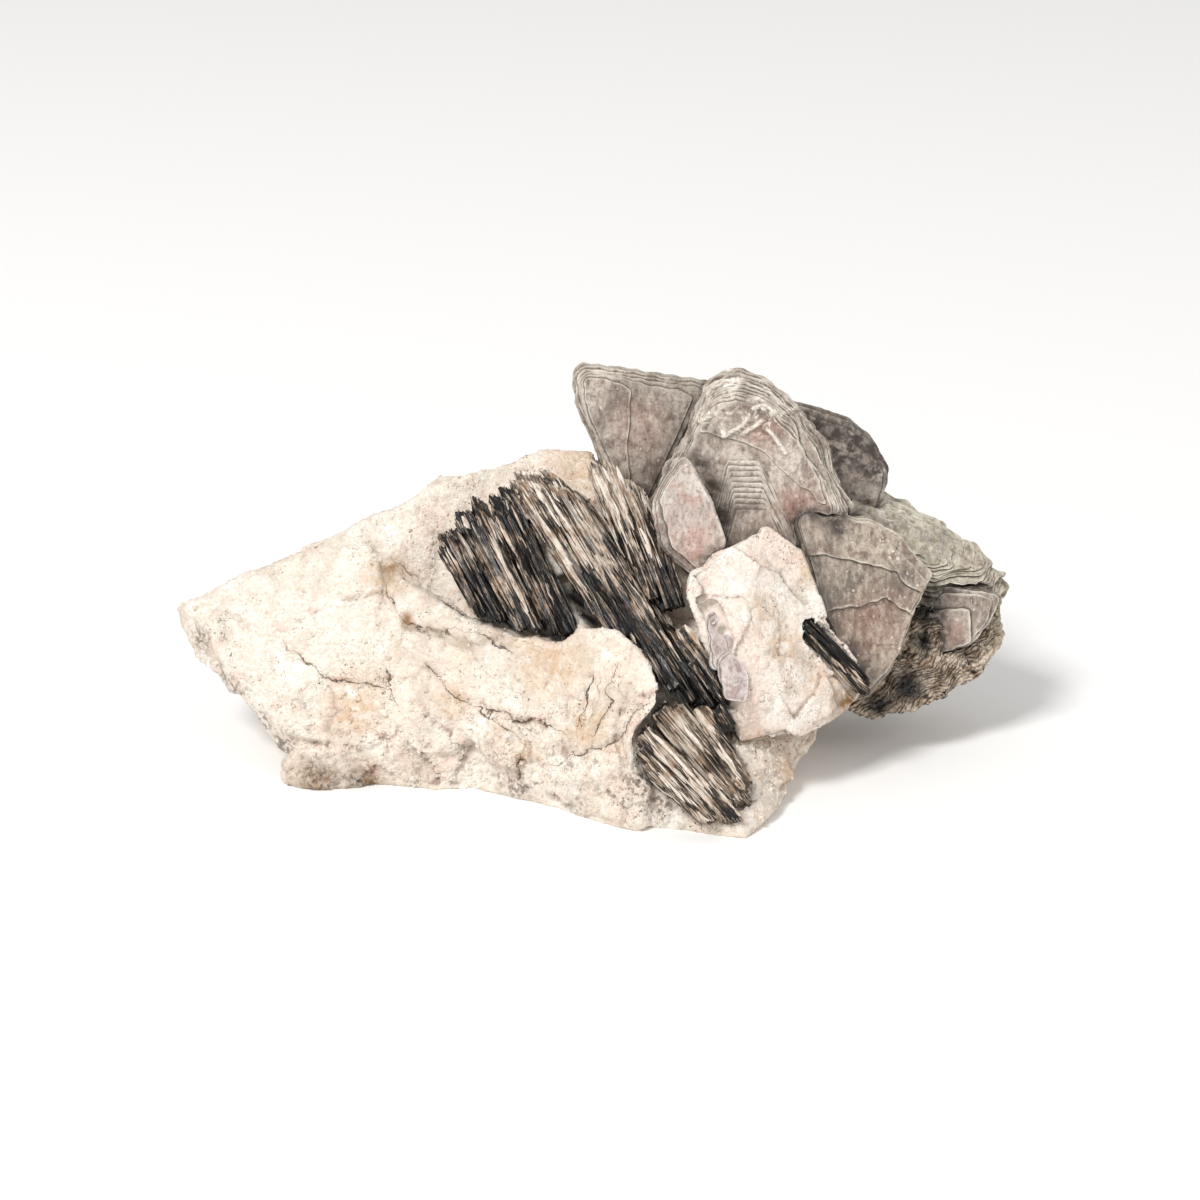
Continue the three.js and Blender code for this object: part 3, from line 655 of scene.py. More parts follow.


# Schorl, the black tourmaline. Glassy on its fine lengthwise ribs, whose silver glint is painted in light and
# dark streaks along them, brown where it is thin, with pale mica and pink-tan stain on some of its splinters,
# most of them towards the open ends. Splinters sunk deeper, and the sheaf where it meets other crystals, are
# painted darker as shade.
schorl, add, shader = finish_of("Black tourmaline", 0.3, 1.64)
where = add("ShaderNodeTexCoord").outputs["Object"]
in_bar = add("attribute", attribute_name="in_bar").outputs["Vector"]
length, tone, pale, depth = (
    add("attribute", attribute_name=kept).outputs["Fac"] for kept in ("length", "tone", "pale", "depth")
)
stretch = add("xyz", 0.6 * MM, 1.2 * MM, add("*", length, 0.14))
ribs = add("v+", add("v*", in_bar, stretch), add("xyz", add("*", tone, 0.9)))
ribbed = add("noise", ribs, 1 / (0.28 * MM), 3.0, 0.6)
patch, rusts, flushes = (
    add("noise", where, 1 / (size * MM), detail) for size, detail in ((6, 3), (4, 3), (3, 2))
)
# The ribs' light streaks are a painted highlight; depth paints sunk splinters darker as shade.
lifted = total(add, [
    add("*", tone, 0.7), add("range", patch, 0.35, 0.65, -0.14, 0.14),
    add("range", ribbed, 0.3, 0.7, -0.26, 0.26), pale, add("*", depth, -0.2),
])
ramp = add("ShaderNodeValToRGB", lifted)
ramp.color_ramp.elements[0].color = colour("#0b0908")
ramp.color_ramp.elements[1].position = 1.0
ramp.color_ramp.elements[1].color = colour("#e6dccf")
for place_on, code in ((0.3, "#13100e"), (0.42, "#3d3228"), (0.54, "#807162"), (0.7, "#bdac99")):
    ramp.color_ramp.elements.new(place_on).color = colour(code)
rusty = add("*", add("range", rusts, 0.52, 0.64), add("range", lifted, 0.3, 0.6))
flush = add("*", add("range", flushes, 0.55, 0.66), add("range", lifted, 0.55, 0.75))
connect(shader, {
    "Base Color": painted(add, ramp, [(add("*", rusty, 0.6), "#9c7a5c"), (add("*", flush, 0.45), "#cfb09c")]),
    "Roughness": add("range", ribbed, 0.3, 0.7, 0.2, 0.5),
    "Normal": bumps(add, [(ribbed, 0.14 * MM)]),
    "Specular IOR Level": 0.3,
})

# How each sheaf splits: node, piece, shortest edge that shows the grain and its least likeness to the main
# direction, how pale its lower and upper ends are, seed.
SHEAVES = [
    ("tourmaline_sheaf_left", "sheaf_left_blades", 6, 0.8, 0.0, 0.24, 1),
    ("tourmaline_sheaf_middle", "sheaf_middle_blades", 8, 0.85, -0.1, 0.52, 2),
    ("tourmaline_sheaf_right", "sheaf_right_blades", 8, 0.85, -0.12, 0.72, 3),
    ("tourmaline_stubs", "stub_blades", 4, 0.55, 0.27, 0.33, 4),
    ("tourmaline_sheaf_lower", "sheaf_lower_blades", 6, 0.8, 0.42, 0.45, 5),
    ("tourmaline_in_block", "blades_in_block", 6, 0.9, 0.15, 0.15, 6),
]
for node, name, shortest, spread, pale_low, pale_high, seed in SHEAVES:
    sheaf = placed(name, merged(node))
    grain, along = blade_directions(sheaf.data, shortest, spread)
    keep(sheaf, "grain", grain)
    keep(sheaf, "tone", np.zeros(len(along)))
    pale = np.interp(along, (along.min(), along.max()), (pale_low, pale_high))
    # Paler towards the open ends, and darker where the sheaf meets other crystals: painted shade.
    keep(sheaf, "pale", pale - 0.28 * seams(coordinates(sheaf), node, 2.0))
    modifier(sheaf, splintered, seed=seed, finish=schorl)
    settle(sheaf)
    place_points(sheaf, coordinates(sheaf))
    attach(sheaf, "root")
    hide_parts(node)

# ---- Mica books ----
# Muscovite mica in books of thin sheets grown on each other, each with its own ragged rim. Where some sheets
# have split off, their torn edge is left as a low step on the face. The tall centre book has chevron growth
# steps and buckled sheets at its top, and the green book lies flat like a shingle.

STEP = 0.7  # spacing of the grid that the sheets are drawn on, in millimetres
LAYER = 0.2  # thickness of the layers that a book is measured in, in millimetres
RIM = 2  # how many grid steps to each side of its rim a sheet's field takes to go from full to empty
SMALLEST = 25  # grid cells in the smallest sheet that is kept
SPARSE = 6  # grid steps between a sheet's points where another sheet covers it
MOST_HITS = 20  # times that a line through a book may meet its surface
OUT = (0, 0, 1)  # out of a book's broad face, in the book's own directions


def frame_of(mesh):
    """A book's middle, its directions across, up and out of its broad face, and how far out that face is."""
    spread = sum((face.area * np.outer(face.normal, face.normal) for face in mesh.polygons), np.zeros((3, 3)))
    out = np.linalg.eigh(spread)[1][:, -1]
    out *= np.sign(out @ np.array([0, -1, 1]))
    across = np.array([1.0, 0, 0]) - out[0] * out
    across /= np.linalg.norm(across)
    middle = np.mean([vertex.co for vertex in mesh.vertices], axis=0) / MM
    front = sorted(
        ((np.array(face.center) / MM - middle) @ out, face.area)
        for face in mesh.polygons if np.array(face.normal) @ out > 0.97
    )
    depths, areas = np.array(front).T
    broad = depths[np.searchsorted(np.cumsum(areas), areas.sum() / 2)]
    return middle, np.array([across, np.cross(out, across), out]), broad


def filled(mesh, middle, axes, broad, squared):
    """How full of mica each cell of a grid of columns and thin layers is, and where the grid starts. The
    sheets near the front are as wide as those up to squared millimetres behind them."""
    corners = (np.array([vertex.co for vertex in mesh.vertices]) / MM - middle) @ axes.T
    start, end = corners.min(axis=0) - 3 * STEP, corners.max(axis=0) + 3 * STEP
    columns, rows = (np.ceil((end - start)[:2] / STEP).astype(int) + 1)
    layers = int(np.ceil((end - start)[2] / LAYER)) + 1
    solid = bmesh.new()
    solid.from_mesh(mesh)
    tree = BVHTree.FromBMesh(solid)
    solid.free()
    full = np.zeros((layers, rows, columns))
    edges = start[2] + LAYER * np.arange(layers + 1)
    down = Vector(-axes[2])
    for row in range(rows):
        for column in range(columns):
            above = np.array([start[0] + STEP * column, start[1] + STEP * row, end[2]])
            source, hits, depth = Vector((middle + above @ axes) * MM), [], 0.0
            while len(hits) < MOST_HITS:
                hit = tree.ray_cast(source + down * depth * MM, down)
                if hit[0] is None:
                    break
                depth += hit[3] / MM
                hits.append(end[2] - depth)
                depth += 0.01
            for top, bottom in zip(hits[::2], hits[1::2]):
                shared = np.minimum(edges[1:], top) - np.maximum(edges[:-1], bottom)
                full[:, row, column] += np.clip(shared, 0, None)
    front = int((broad - start[2]) / LAYER)
    for layer in range(front, round(squared / LAYER), -1):
        full[layer] = full[layer - round(squared / LAYER) : layer + 1].max(axis=0)
    return full / LAYER, start


def softened(values, axis, reach):
    """Each value averaged with its neighbours up to that many cells away."""
    return sum(np.roll(values, shift, axis) for shift in range(-reach, reach + 1)) / (2 * reach + 1)


def grown_once(field):
    """The highest value at each place or beside it."""
    return np.maximum.reduce([field] + [np.roll(field, way, axis) for axis in (0, 1) for way in (1, -1)])


def ramped(field):
    """The field with its steep rims spread out to both sides, so that noise can move them."""
    grown = shrunk = so_far = field
    for _ in range(RIM):
        grown, shrunk = grown_once(grown), -grown_once(-shrunk)
        so_far = so_far + grown + shrunk
    return softened(softened(so_far / (2 * RIM + 1), 0, 1), 1, 1)


def outline(field):
    """Points and edges of the line round where a grid of numbers is above a half, in grid steps."""
    inside, points_found, edges_found, known = field > 0.5, [], [], {}

    def crossing(a, b):
        if (a, b) not in known:
            share = min(max((0.5 - field[a]) / (field[b] - field[a]), 0.1), 0.9)
            known[a, b] = len(points_found)
            points_found.append((a[1] + share * (b[1] - a[1]), a[0] + share * (b[0] - a[0])))
        return known[a, b]

    corners = inside[:-1, :-1].astype(int) + inside[1:, :-1] + inside[:-1, 1:] + inside[1:, 1:]
    for row, column in np.argwhere((corners > 0) & (corners < 4)):
        ring = [(row, column), (row, column + 1), (row + 1, column + 1), (row + 1, column)]
        sides = [sorted(pair) for pair in zip(ring, ring[1:] + ring[:1])]
        cuts = [crossing(*side) for side in sides if inside[side[0]] != inside[side[1]]]
        edges_found += [cuts[:2], cuts[2:]] if len(cuts) == 4 else [cuts]
    return points_found, edges_found


def on_grid(full, start):
    """Where each column of the grid is on the face, in millimetres."""
    rows, columns = full.shape[1:]
    across, up = np.meshgrid(start[0] + STEP * np.arange(columns), start[1] + STEP * np.arange(rows))
    return np.stack([across.ravel(), up.ravel(), np.zeros(rows * columns)], axis=1)


def waves(face, depth, size, seed):
    """Soft noise from -1 to 1 at places on the face, for a sheet at that depth."""
    return soft_noise(face + np.array([0, 0, depth * size]), size, seed)


def plans(full, start, broad, torn, sheet, ragged, flaking, blend, seed):
    """The field of each sheet of a book, from the front to the back, with the heights of its two faces. Torn
    is a list of [how many sheets, the line where they tore]: they are gone from the line's right side."""
    random = np.random.default_rng(seed)
    even = softened(full, 0, round(blend / LAYER))
    layers, rows, columns = full.shape
    inner = softened(softened((full.max(axis=0) > 0.5).astype(float), 0, 5), 1, 5)
    rim = np.clip(2.6 * (1 - inner), 0, 1).ravel()
    face = on_grid(full, start)
    flakes = waves(face, 0, 11, seed)
    left = []
    for count, line in torn:
        side = beside(face, [[(*spot, 0) for spot in line]], OUT)[0]
        left.append((count, 0.5 - (side + 0.7 * waves(face, 0, 3, count)) / (2 * RIM * STEP)))
    back, front = start[2], start[2] + layers * LAYER
    tops = [broad + sheet * i for i in range(-int((broad - back) / sheet), int((front - broad) / sheet) + 1)]
    found = []
    for high in reversed(tops):
        layer = min(max(round((high - sheet / 2 - start[2]) / LAYER - 0.5), 0), layers - 1)
        field = ramped(even[layer]).ravel()
        slip = 0.12 * random.normal() - (0.4 if random.uniform() < 0.14 else 0.0)
        moving = (field > 0.02) & (field < 0.995)
        near, edge = face[moving], rim[moving]
        rag = 0.42 * waves(near, 1.7 * round(high / 2.1), 8, seed + 3) + 0.12 * waves(near, high, 2, seed + 9)
        field[moving] += (
            ragged * (0.3 + 0.7 * edge) * rag + flaking * flakes[moving] + edge * slip - 0.04 * edge
        )
        for count, kept in left:
            if high > broad - (count - 0.5) * sheet:
                field = np.minimum(field, kept + 0.06 * waves(face, high, 3, seed + 5))
        found.append((high - sheet, high, field.reshape(rows, columns)))
    return found


def stepped(full, start, broad, top, corners, slopes, rise, drop, narrowing, count):
    """The sheets of a chevron with a flat top and two arms. Each is drop lower and a little narrower than the
    one under it."""
    whole = full[int((broad - 1 - start[2]) / LAYER)]
    face = on_grid(full, start)
    x, y = face[:, 0], face[:, 1]
    found = []
    for i in reversed(range(count)):
        left_arm, right_arm = (corner + slope * (top - y) for corner, slope in zip(corners, slopes))
        inside = np.minimum.reduce([
            top - i * drop - y, x - left_arm - 1.4 * narrowing * i, right_arm - narrowing * i - x,
        ])
        field = 0.5 + (inside + 0.25 * waves(face, 0.7 * i, 4, 40)) / (2 * RIM * STEP)
        field = np.minimum(field.reshape(whole.shape), whole)
        found.append((broad + i * rise - 0.05, broad + (i + 1) * rise, field))
    return found


def triangulated(rim, rim_edges, inner):
    """Triangles that fill a rim and take in the points inside it. The rim's points are numbered first."""
    flat = [Vector(point) for point in (*rim, *inner)]
    _, _, triangles, sources, _, _ = delaunay_2d_cdt(flat, rim_edges, [], 2, 1e-4)
    return [[sources[i][0] for i in triangle] for triangle in triangles if all(sources[i] for i in triangle)]


def stack(name, sheets, start, middle, axes, seed):
    """A book built from its sheets. Its points keep where they are in the book, whether they are at a rim, at
    the foot of a step or out on a bare face, and a number that differs from sheet to sheet."""
    random = np.random.default_rng(seed)
    sheets = [sheet for sheet in sheets if (sheet[2] > 0.5).sum() >= SMALLEST]
    points_made, faces_made, rims, feet, bare, numbers, edge_on = [], [], [], [], [], [], []
    nothing = np.zeros_like(sheets[0][2])
    sparse = nothing > 1
    sparse[::SPARSE, ::SPARSE] = True
    for number, (low, high, field) in enumerate(sheets):
        rim, rim_edges = outline(field)
        deep = -grown_once(-field) > 0.5
        tone = random.uniform()
        first, triangles = [], []
        for height, neighbour in ((high, number - 1), (low, number + 1)):
            # The next sheet's rim lies on this one as a step, and it has points along that step's foot.
            other = sheets[neighbour][2] if 0 <= neighbour < len(sheets) else nothing
            foot = [
                point for point in outline(other)[0]
                if deep[round(point[1]), round(point[0])] and field[int(point[1]), int(point[0])] > 0.5
            ]
            beside_foot = (grown_once(other) > 0.5) & (-grown_once(-other) < 0.5)
            shown = (other < 0.5) | sparse
            inner = np.argwhere(deep & shown & ~beside_foot)[:, ::-1]
            bare += [0.0] * (len(rim) + len(foot))
            bare += [float(other[row, column] < 0.5) for column, row in inner]
            inner = inner + random.uniform(-0.2, 0.2, inner.shape)
            flat = [*rim, *foot, *inner]
            first.append(len(points_made))
            triangles.append(triangulated(rim, rim_edges, flat[len(rim) :]))
            points_made += [(start[0] + STEP * x, start[1] + STEP * y, height) for x, y in flat]
            rims += [1.0] * len(rim) + [0.0] * (len(flat) - len(rim))
            feet += [0.0] * len(rim) + [1.0] * len(foot) + [0.0] * len(inner)
            numbers += [tone] * len(flat)
        faces_made += [[first[0] + i for i in triangle] for triangle in triangles[0]]
        faces_made += [[first[1] + i for i in reversed(triangle)] for triangle in triangles[1]]
        edge_on += [0.0] * (len(triangles[0]) + len(triangles[1]))
        used = {pair for triangle in triangles[0] for pair in zip(triangle, triangle[1:] + triangle[:1])}
        for a, b in sorted(used):
            if (b, a) not in used:
                faces_made.append([first[0] + b, first[0] + a, first[1] + a, first[1] + b])
                edge_on.append(1.0)
    local = np.array(points_made)
    made = bpy.data.meshes.new(name)
    made.from_pydata((middle + local @ axes) * MM, [], faces_made)
    book = placed(name, made)
    held = {"rim": rims, "foot": feet, "bare": bare, "tone": numbers, "in_book": local}
    for kind, values in held.items():
        keep(book, kind, values)
    keep(book, "edge_on", edge_on, "FACE")
    return book, local


# Sheets are never quite flat: they swell and dimple together, along the direction that the book faces, and
# buckle where something pressed on them.
rippled, given, add = tree_with(
    "Rippled sheets", facing_x=0.0, facing_y=-1.0, facing_z=0.0, swell=0.5 * MM, swell_size=13 * MM,
    dimple=0.12 * MM, dimple_size=4 * MM, finish=None,
)
on_face = add("v*", add("named", "in_book", data_type="FLOAT_VECTOR"), (MM, MM, 0.15 * MM))
push_out = total(add, [
    rise(add, on_face, given["Swell size"], given["Swell"], 1.0),
    rise(add, on_face, given["Dimple size"], given["Dimple"], 2.0),
    add("*", add("named", "buckle"), MM),
])
facing = add("xyz", given["Facing x"], given["Facing y"], given["Facing z"])
moved = add("move", given["Geometry"], Offset=add("scale", facing, push_out))
end_tree(add, moved, given["Finish"])


# Muscovite. Pearly and silvery on its cleavage faces, with a pink or green-grey body colour and hair-fine
# growth lines, and pale and dark lines where its sheets show edge-on. The silver patches are partly a painted
# sheen, the pale rims and lips of its sheets are painted highlights, and painted shade lies at the foot of
# each step and where it meets other crystals. Its patterns are sized in millimetres.
def mica_finish(name, silver, body, tint, flush, edge_pale, edge_dark):
    made, add, shader = finish_of(name, 0.4, 1.58, 0.12)
    where = add("attribute", attribute_name="in_book").outputs["Vector"]
    drawn_out = add("ShaderNodeMapping", Vector=where, Rotation=(0, 0, 0.5), Scale=(1, 0.45, 1))
    broad, patchy, fibre, grain, soft, highlight_breakup, shade_mottle = (
        add("noise", place, 1 / size, detail, roughness, Distortion=distortion)
        for place, size, detail, distortion, roughness in (
            (where, 12, 4, 0.2, 0.5), (where, 3.2, 5, 0.2, 0.62), (drawn_out, 1.3, 6, 0.25, 0.68),
            (where, 0.7, 3, 0, 0.6), (where, 26, 2, 0.6, 0.5), (where, 5, 3, 0, 0.5),
            (where, 2.5, 5, 0.2, 0.65),
        )
    )
    flushed, foot, rim, lip, tone, edge_on, shade = (
        add("attribute", attribute_name=kept).outputs["Fac"]
        for kept in ("flush", "foot", "rim", "lip", "tone", "edge_on", "shade")
    )
    # Growth lines are the level lines of a soft hill, each a fine dark step.
    hill = add("*", soft, 12.0)
    line = add("*", add("range", add("fold", hill, 0.5), 0.06, 0.0), add("range", broad, 0.42, 0.52))
    side = add("mix", add("range", tone, 0.4, 0.7), colour(edge_dark), colour(edge_pale))
    side = add("mix", add("range", patchy, 0.4, 0.6, 0.1, 0.5), side, colour("#928c72"))
    # Broad silver patches over the body colour: partly its own tone, partly a painted sheen.
    base = add("mix", add("range", broad, 0.4, 0.6), colour(body), colour(silver))
    base = painted(add, base, [
        (patchy, 0.5, 0.62, 0, 0.85, tint),
        (add("*", flushed, add("range", broad, 0.35, 0.6, 1, 0.5)), flush),
        (fibre, 0.5, 0.7, 0, 0.45, edge_pale),
        (fibre, 0.48, 0.28, 0, 0.6, edge_dark),
        (grain, 0.54, 0.7, 0, 0.5, edge_dark),
        (add("*", line, 0.25), edge_dark),
        # Painted shade at the foot of each step.
        (foot, 0.45, 0.95, 0, 0.65, edge_dark),
        # Painted highlight along the rims of the sheets, broken up by a noise.
        (add("*", add("range", rim, 0.5, 1.0), add("range", highlight_breakup, 0.42, 0.58, 0.1, 0.65)), edge_pale),
        # Painted highlight along the lips of the buckled sheets.
        (lip, 0.45, 0.9, 0, 0.9, edge_pale),
        (edge_on, side),
        # Painted shade where the book meets other crystals and in its shaded places, mottled by a noise.
        (add("*", shade, add("range", shade_mottle, 0.38, 0.56, 0.35, 1)), "#3a2f28"),
    ])
    connect(shader, {
        "Base Color": base, "Roughness": add("range", patchy, 0.3, 0.7, 0.28, 0.55),
        "Normal": bumps(add, [
            (add("snap", hill, 1.0), 0.1 * MM), (patchy, 0.3 * MM), (fibre, 0.15 * MM), (grain, 0.08 * MM),
        ]),
        "Coat Weight": 0.25, "Coat Roughness": 0.3,
    })
    return made


silver_mica, bright_mica, brown_mica, green_mica, lilac_mica = (
    mica_finish(name, *codes.split()) for name, codes in (
        ("Silver-pink mica", "#cabdb0 #8f8174 #89756a #a37f70 #efe8db #352b24"),
        ("Bright pink mica", "#d9cec4 #bfaea4 #c4a497 #c9a094 #faf4eb #4a3d34"),
        ("Brown-grey mica", "#b1a291 #786c60 #7a6558 #8c6756 #e8dfce #2b221b"),
        ("Grey-green mica", "#c9c0ae #9c9384 #8c8166 #94806c #f0e9d9 #322b22"),
        ("Lilac mica", "#d8ccc6 #bfada7 #ab918c #b59a94 #f1e8e1 #57483f"),
    )
)

# How each book is built: node, piece, slot, finish, how far back its front sheets are squared up, its cut,
# where sheets have torn, and the places of painted shade and those that are flushed pink-brown, as
# [across, up, radius] in millimetres. A cut is the thickness of a sheet, how ragged its rim is, how much it
# flakes, and over what depth the shape of the book is blended.
CHEVRON = {"top": 14.4, "corners": (-8.8, -1.2), "slopes": (-0.25, 0.5), "rise": 0.17, "drop": 1.3,
           "narrowing": 0.42, "count": 10}
BOOKS = [
    ("mica_book_centre", "centre_book_sheets", "mica", silver_mica,
     1.4, (0.34, 1.0, 0.12, 0.6),
     [(5, [(24, 1), (18.4, 5.8), (10, 15.2), (3.9, 30.6)]), (3, [(-14.7, 30.3), (-21, 18.5), (-27.4, 6.9)]),
      (1, [(-16, 21), (-4.3, 18.6), (0.5, 16.3), (4.1, 12.3), (7.7, 9.2), (15, 4)])],
     [(-22, -12, 10), (-6, -9, 6), (-16, 13, 5), (-12.8, 7, 6), (-9.8, 1, 6)], [(0, 20, 6), (8, 2, 10)]),
    ("mica_book_back", "back_book_sheets", "mica", silver_mica,
     2.0, (0.36, 0.3, 0.0, 0.4), [],
     [(28, 4, 14), (36, 0, 12), (20, 8, 10), (22, -4, 12), (-8, 4, 6)], [(-22, 8, 9)]),
    ("mica_book_small", "small_book_sheets", "mica", bright_mica,
     2.4, (0.36, 0.25, 0.04, 0.2),
     [(5, [(-7.6, 8), (-7.2, 4), (-4.4, -6.2), (2.4, -12.6)]), (2, [(9, 8), (1, 15)])],
     [(-9, -4, 4), (-5, -10, 4)], [(1, -6, 6)]),
    ("mica_book_right", "right_book_sheets", "mica", brown_mica,
     2.4, (0.42, 0.45, 0.08, 0.4),
     [(2, [(-18, 10.6), (-11.2, 10.2), (-2.5, 8.8), (7.3, 6.2), (10.3, 2.6), (13, 1)]),
      (5, [(-14, -4), (-8, -3), (-2.5, -2.2), (5, 0.3), (9.9, -3.3), (13, -5)]),
      (3, [(12, 7), (9.9, 9.2), (3.5, 16.1), (2, 18.5)])],
     [(-4, -14, 6), (-1, -19, 7)], [(3, -7, 12)]),
    ("mica_book_far_right", "far_right_book_sheets", "mica", silver_mica,
     2.0, (0.4, 0.5, 0.06, 0.4),
     [(4, [(3.4, -8), (3, 2.4), (-8.2, 1.8)])],
     [(-7, -7, 4)], [(-2, -3, 5)]),
    ("mica_book_green", "green_book_sheets", "green_mica", green_mica,
     0.0, (0.4, 1.5, 0.4, 0.8), [],
     [(-14, 2, 7), (6, -14, 5)], [(20, 0, 9)]),
    ("mica_flakes", "flake_sheets", "lilac_mica", lilac_mica,
     0.0, (0.3, 0.5, 0.0, 0.2), [], [], []),
]
# Lips of the buckled sheets on the centre book: the line of each, in its own millimetres.
LIPS = [
    [(-9.9, 20.0, 0), (-7.1, 21.7, 0), (-5.1, 22.9, 0), (-3.6, 25.4, 0)],
    [(-5.1, 20.9, 0), (-2.3, 22.6, 0), (-0.4, 24.2, 0)],
    [(0.8, 22.2, 0), (2.8, 19.9, 0), (5.2, 16.3, 0)],
    [(-8.4, 30.8, 0), (-5.6, 32.5, 0)],
    [(-15.9, 23.5, 0), (-13.1, 24.8, 0)],
    [(-2.8, 27.0, 0), (-0.4, 27.8, 0), (3, 26.5, 0)],
]


for seed, (node, name, slot, finish, squared, cut, torn, shaded_places, flushed) in enumerate(BOOKS):
    mesh = merged(node)
    middle, axes, broad = frame_of(mesh)
    full, start = filled(mesh, middle, axes, broad, squared)
    sheets = plans(full, start, broad, torn, *cut, seed)
    if node == "mica_book_centre":
        sheets = [s for s in sheets if s[1] <= broad + 0.01]
        sheets = stepped(full, start, broad, **CHEVRON) + sheets
    book, local = stack(name, sheets, start, middle, axes, seed)
    face = local * (1, 1, 0)
    in_front = np.clip((local[:, 2] - broad + 9) / 5, 0, 1)
    # Painted shade in the listed places and where the book meets the other crystals.
    darkened = in_front * spots(face, [(x, y, 0, radius) for x, y, radius in shaded_places])
    if node != "mica_flakes":
        darkened = np.maximum(darkened, seams(coordinates(book), node, 3.2 if slot == "mica" else 1.2))
    keep(book, "shade", darkened)
    keep(book, "flush", in_front * spots(face, [(x, y, 0, radius) for x, y, radius in flushed]))
    buckle = lips = np.zeros(len(local))
    if node == "mica_book_centre":
        lips = np.exp(-((beside(face, LIPS, OUT)[1] / 0.75) ** 2))
        arcs = np.hypot(face[:, 0] - 2, face[:, 1] - 4) / 2.4 + 1.5 * soft_noise(face, 5, 2)
        near = np.exp(-((face[:, 0] / 11) ** 2) - ((face[:, 1] - 25) / 8) ** 2)
        buckle = 1.2 * lips + 1.2 * near * (0.5 - np.abs(arcs % 1 - 0.5))
    if node == "mica_book_green":
        buckle = 0.9 * soft_noise(face * (0.4, 1, 1), 2.4, 8) + 0.9 * soft_noise(face, 5, 11)
    keep(book, "lip", lips)
    keep(book, "buckle", buckle)
    facing_x, facing_y, facing_z = map(float, axes[2])
    modifier(book, rippled, facing_x=facing_x, facing_y=facing_y, facing_z=facing_z, finish=finish)
    settle(book)
    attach(book, "root")
    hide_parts(node)
    if slot == "mica":
        # Splinters of sheets that have come loose lie about on it and glint.
        bare = np.zeros(len(local))
        book.data.attributes["bare"].data.foreach_get("value", bare)
        keep(book, "chips_here", bare * (0.3 + 0.7 * np.clip(4 * soft_noise(local, 9, seed + 20), 0, 1)))
        chips = chips_on(
            book, name.replace("sheets", "splinters"), per_square_centimetre=16.0, smallest=0.35 * MM,
            largest=1.3 * MM, flatness=0.1, tilt=0.5, seed=seed, finish=bright_mica,
        )
        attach(chips, "root")

# ---- Crumpled mica ----
# Dark mica under the right-hand books, crushed into folds as the rock broke, with loose flakes on it and a
# cream rim of clay at its far right.

FOLD_LEAN = 0.6  # how much its folds climb to the right

base = rock("crumpled_mica", "mica_base", 0.5 * MM)
points = coordinates(base)
keep(base, "roughness_here", np.clip(points[:, 2] / 1.5, 0, 1))
keep(base, "ledges_here", np.clip(points[:, 2] / 1.5, 0, 1))
modifier(
    base, broken_rock, lump_height=1.6 * MM, lump_size=7 * MM, chip_size=5 * MM, chip_height=2.4 * MM,
    flake_size=2.4 * MM, flake_height=0.7 * MM, grain_height=0.25 * MM, fold_height=0.9 * MM,
    fold_size=2.2 * MM, fold_lean=FOLD_LEAN, ledge_height=1.0 * MM,
)
settle(base)
points = coordinates(base)
place_points(base, points)
keep(base, "clay", spots(points, [(100, 10, 36, 7), (101, 9, 28, 7), (98, 12, 42, 5)]))
# Painted shadow in a few dark spots.
keep(base, "deep", spots(points, [
    (84, 11, 44, 6), (80, 6, 37, 7), (76, 0, 19, 6), (69, -1, 15, 5), (80, 4, 29, 4),
]))
keep(base, "chips_here", np.clip(points[:, 2] / 3, 0, 1))

# Crushed muscovite and biotite, bronze-brown, with a painted pale sheen on the crests of its folds and
# painted near-black shade between them and in its hollows.
crushed, add, shader = finish_of("Crushed dark mica", 0.42, 1.58, 0.12)
where = add("ShaderNodeTexCoord").outputs["Object"]
patchy = add("noise", where, 1 / (3.6 * MM), 5.0, 0.6, Distortion=0.3)
grain = add("noise", where, 1 / (0.8 * MM), 3.0)
lines = creases(add, where, 1.1 * MM, FOLD_LEAN)
hollow_shade, deep, clay = (
    add("attribute", attribute_name=kept).outputs["Fac"] for kept in ("hollow_shade", "deep", "clay")
)
surface = add("mix", add("range", patchy, 0.4, 0.6), colour("#a88e74"), colour("#dcc8b0"))
surface = painted(add, surface, [
    # Painted sheen on the crests of the folds.
    (add("*", add("range", lines, 0.28, 0.5), add("range", patchy, 0.4, 0.56, 0.1, 1)), "#e0d5c6"),
    # Painted shade in the creases between the folds.
    (add("*", add("range", lines, 0.24, 0.02), add("range", patchy, 0.62, 0.42, 0.3, 1)), "#1c1511"),
    (grain, 0.5, 0.66, 0, 0.6, "#342a24"),
    # Painted shade in the hollows of the relief.
    (hollow_shade, 0.2, 2.0, 0, 0.9, "#1d1713"),
    # Painted shadow in its dark spots.
    (deep, "#1a1410"),
    (clay, "#e2d0b6"),
])
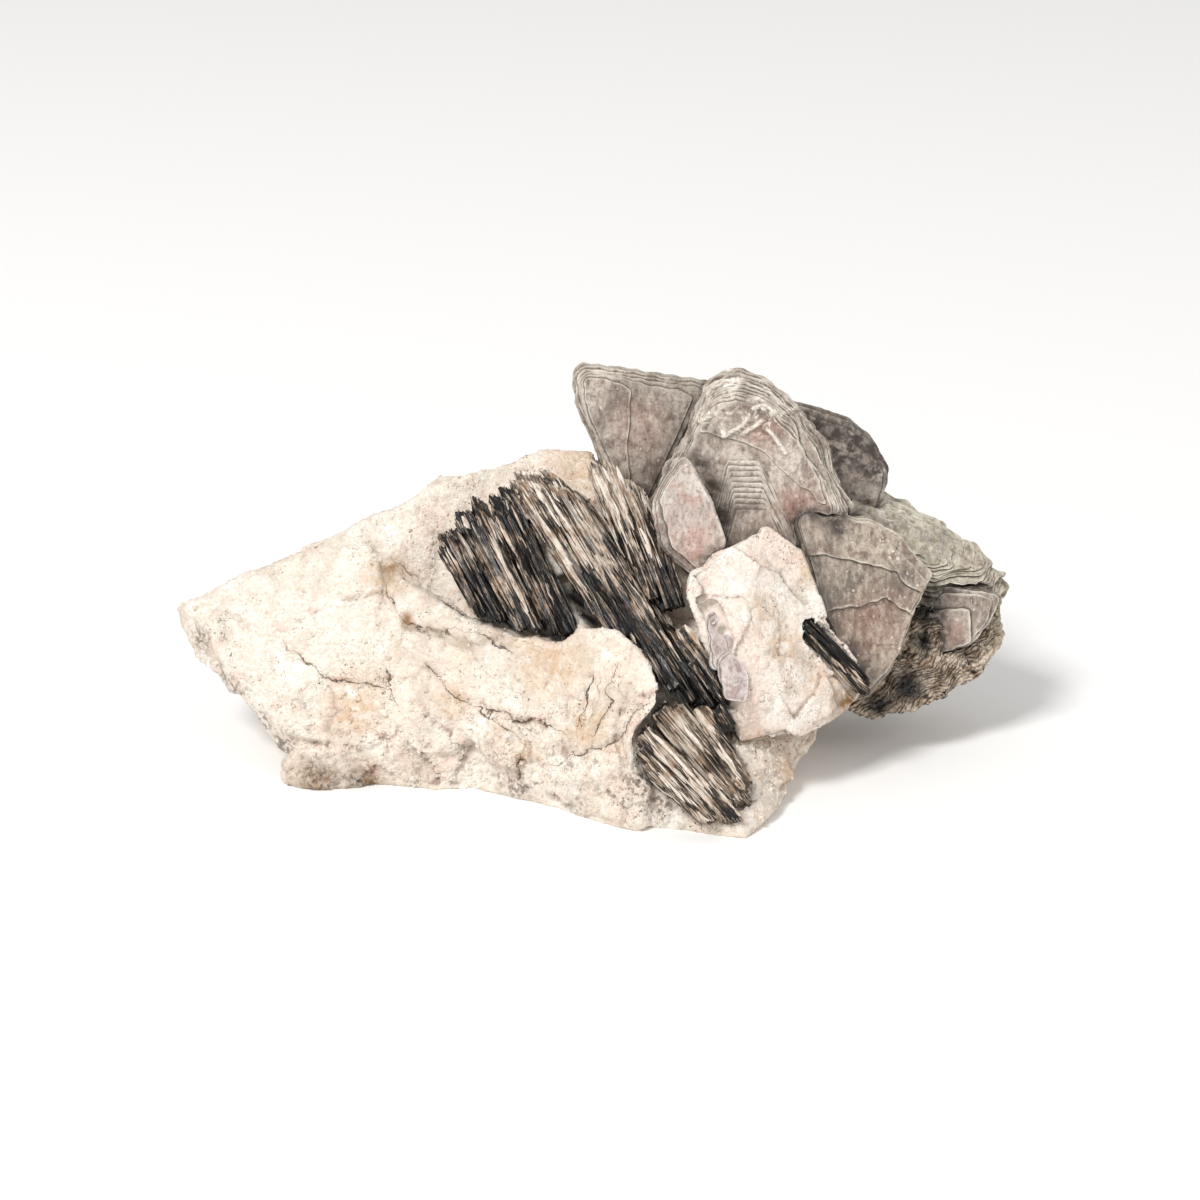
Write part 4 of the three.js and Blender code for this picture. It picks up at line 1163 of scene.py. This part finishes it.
connect(shader, {
    "Base Color": surface, "Normal": bumps(add, [(lines, 0.8 * MM), (patchy, 1.0 * MM), (grain, 0.3 * MM)]),
})
base.data.materials.append(crushed)
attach(base, "root")
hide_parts("mica_base")

chips = chips_on(
    base, "loose_mica_flakes", per_square_centimetre=14.0, smallest=0.8 * MM, largest=3.4 * MM, flatness=0.12,
    tilt=1.1, seed=2, finish=crushed,
)
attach(chips, "root")

# ---- Floor, light and camera ----
# The specimen stands on a plain white floor under a large soft lamp from the upper left and a fill lamp
# from the front right, with white all round it.

lowest, highest = (Vector(corner) for corner in cad_box)
bpy.ops.mesh.primitive_plane_add(size=8, location=(0, 0, 0))
floor = bpy.context.object
floor.name = "floor"
paper, _, shader = finish_of("White paper", 0.9, 1.45)
shader.inputs["Base Color"].default_value = colour("#f4f3f1")
floor.data.materials.append(paper)

world = bpy.data.worlds.new("white room")
bpy.context.scene.world = world
world.use_nodes = True
connect(world.node_tree.nodes["Background"], {"Color": colour("#ffffff"), "Strength": 0.62})


def lamp(name, azimuth, elevation, distance, size, power):
    """A square lamp that looks at the specimen's middle. Azimuth 0 is in front and 90 on its right."""
    made = bpy.data.lights.new(name, "AREA")
    made.size, made.energy = size, power
    target = (lowest + highest) / 2
    turn, lift = math.radians(azimuth), math.radians(elevation)
    out = Vector((math.sin(turn) * math.cos(lift), -math.cos(turn) * math.cos(lift), math.sin(lift)))
    head = placed(name, made)
    head.location = target + distance * out
    head.rotation_euler = out.to_track_quat("Z", "Y").to_euler()


lamp("key", -38, 50, 2.4, 0.6, 42)
lamp("fill", 50, 32, 2.4, 1.2, 8)

# The camera looks down a little at the specimen's middle, from far enough away to flatten it.
DISTANCE = 805 * MM
camera = bpy.data.cameras.new("camera")
camera.lens = 100
head = placed("camera", camera)
elevation = math.radians(22)
target = Vector((1.38, 3.46, 40.4)) * MM
back = Vector((0, -math.cos(elevation), math.sin(elevation)))
head.location = target + DISTANCE * back
head.rotation_euler = back.to_track_quat("Z", "Y").to_euler()
camera.clip_start, camera.clip_end = 0.05, 20
bpy.context.scene.camera = head
bpy.context.scene.view_settings.view_transform = "Standard"
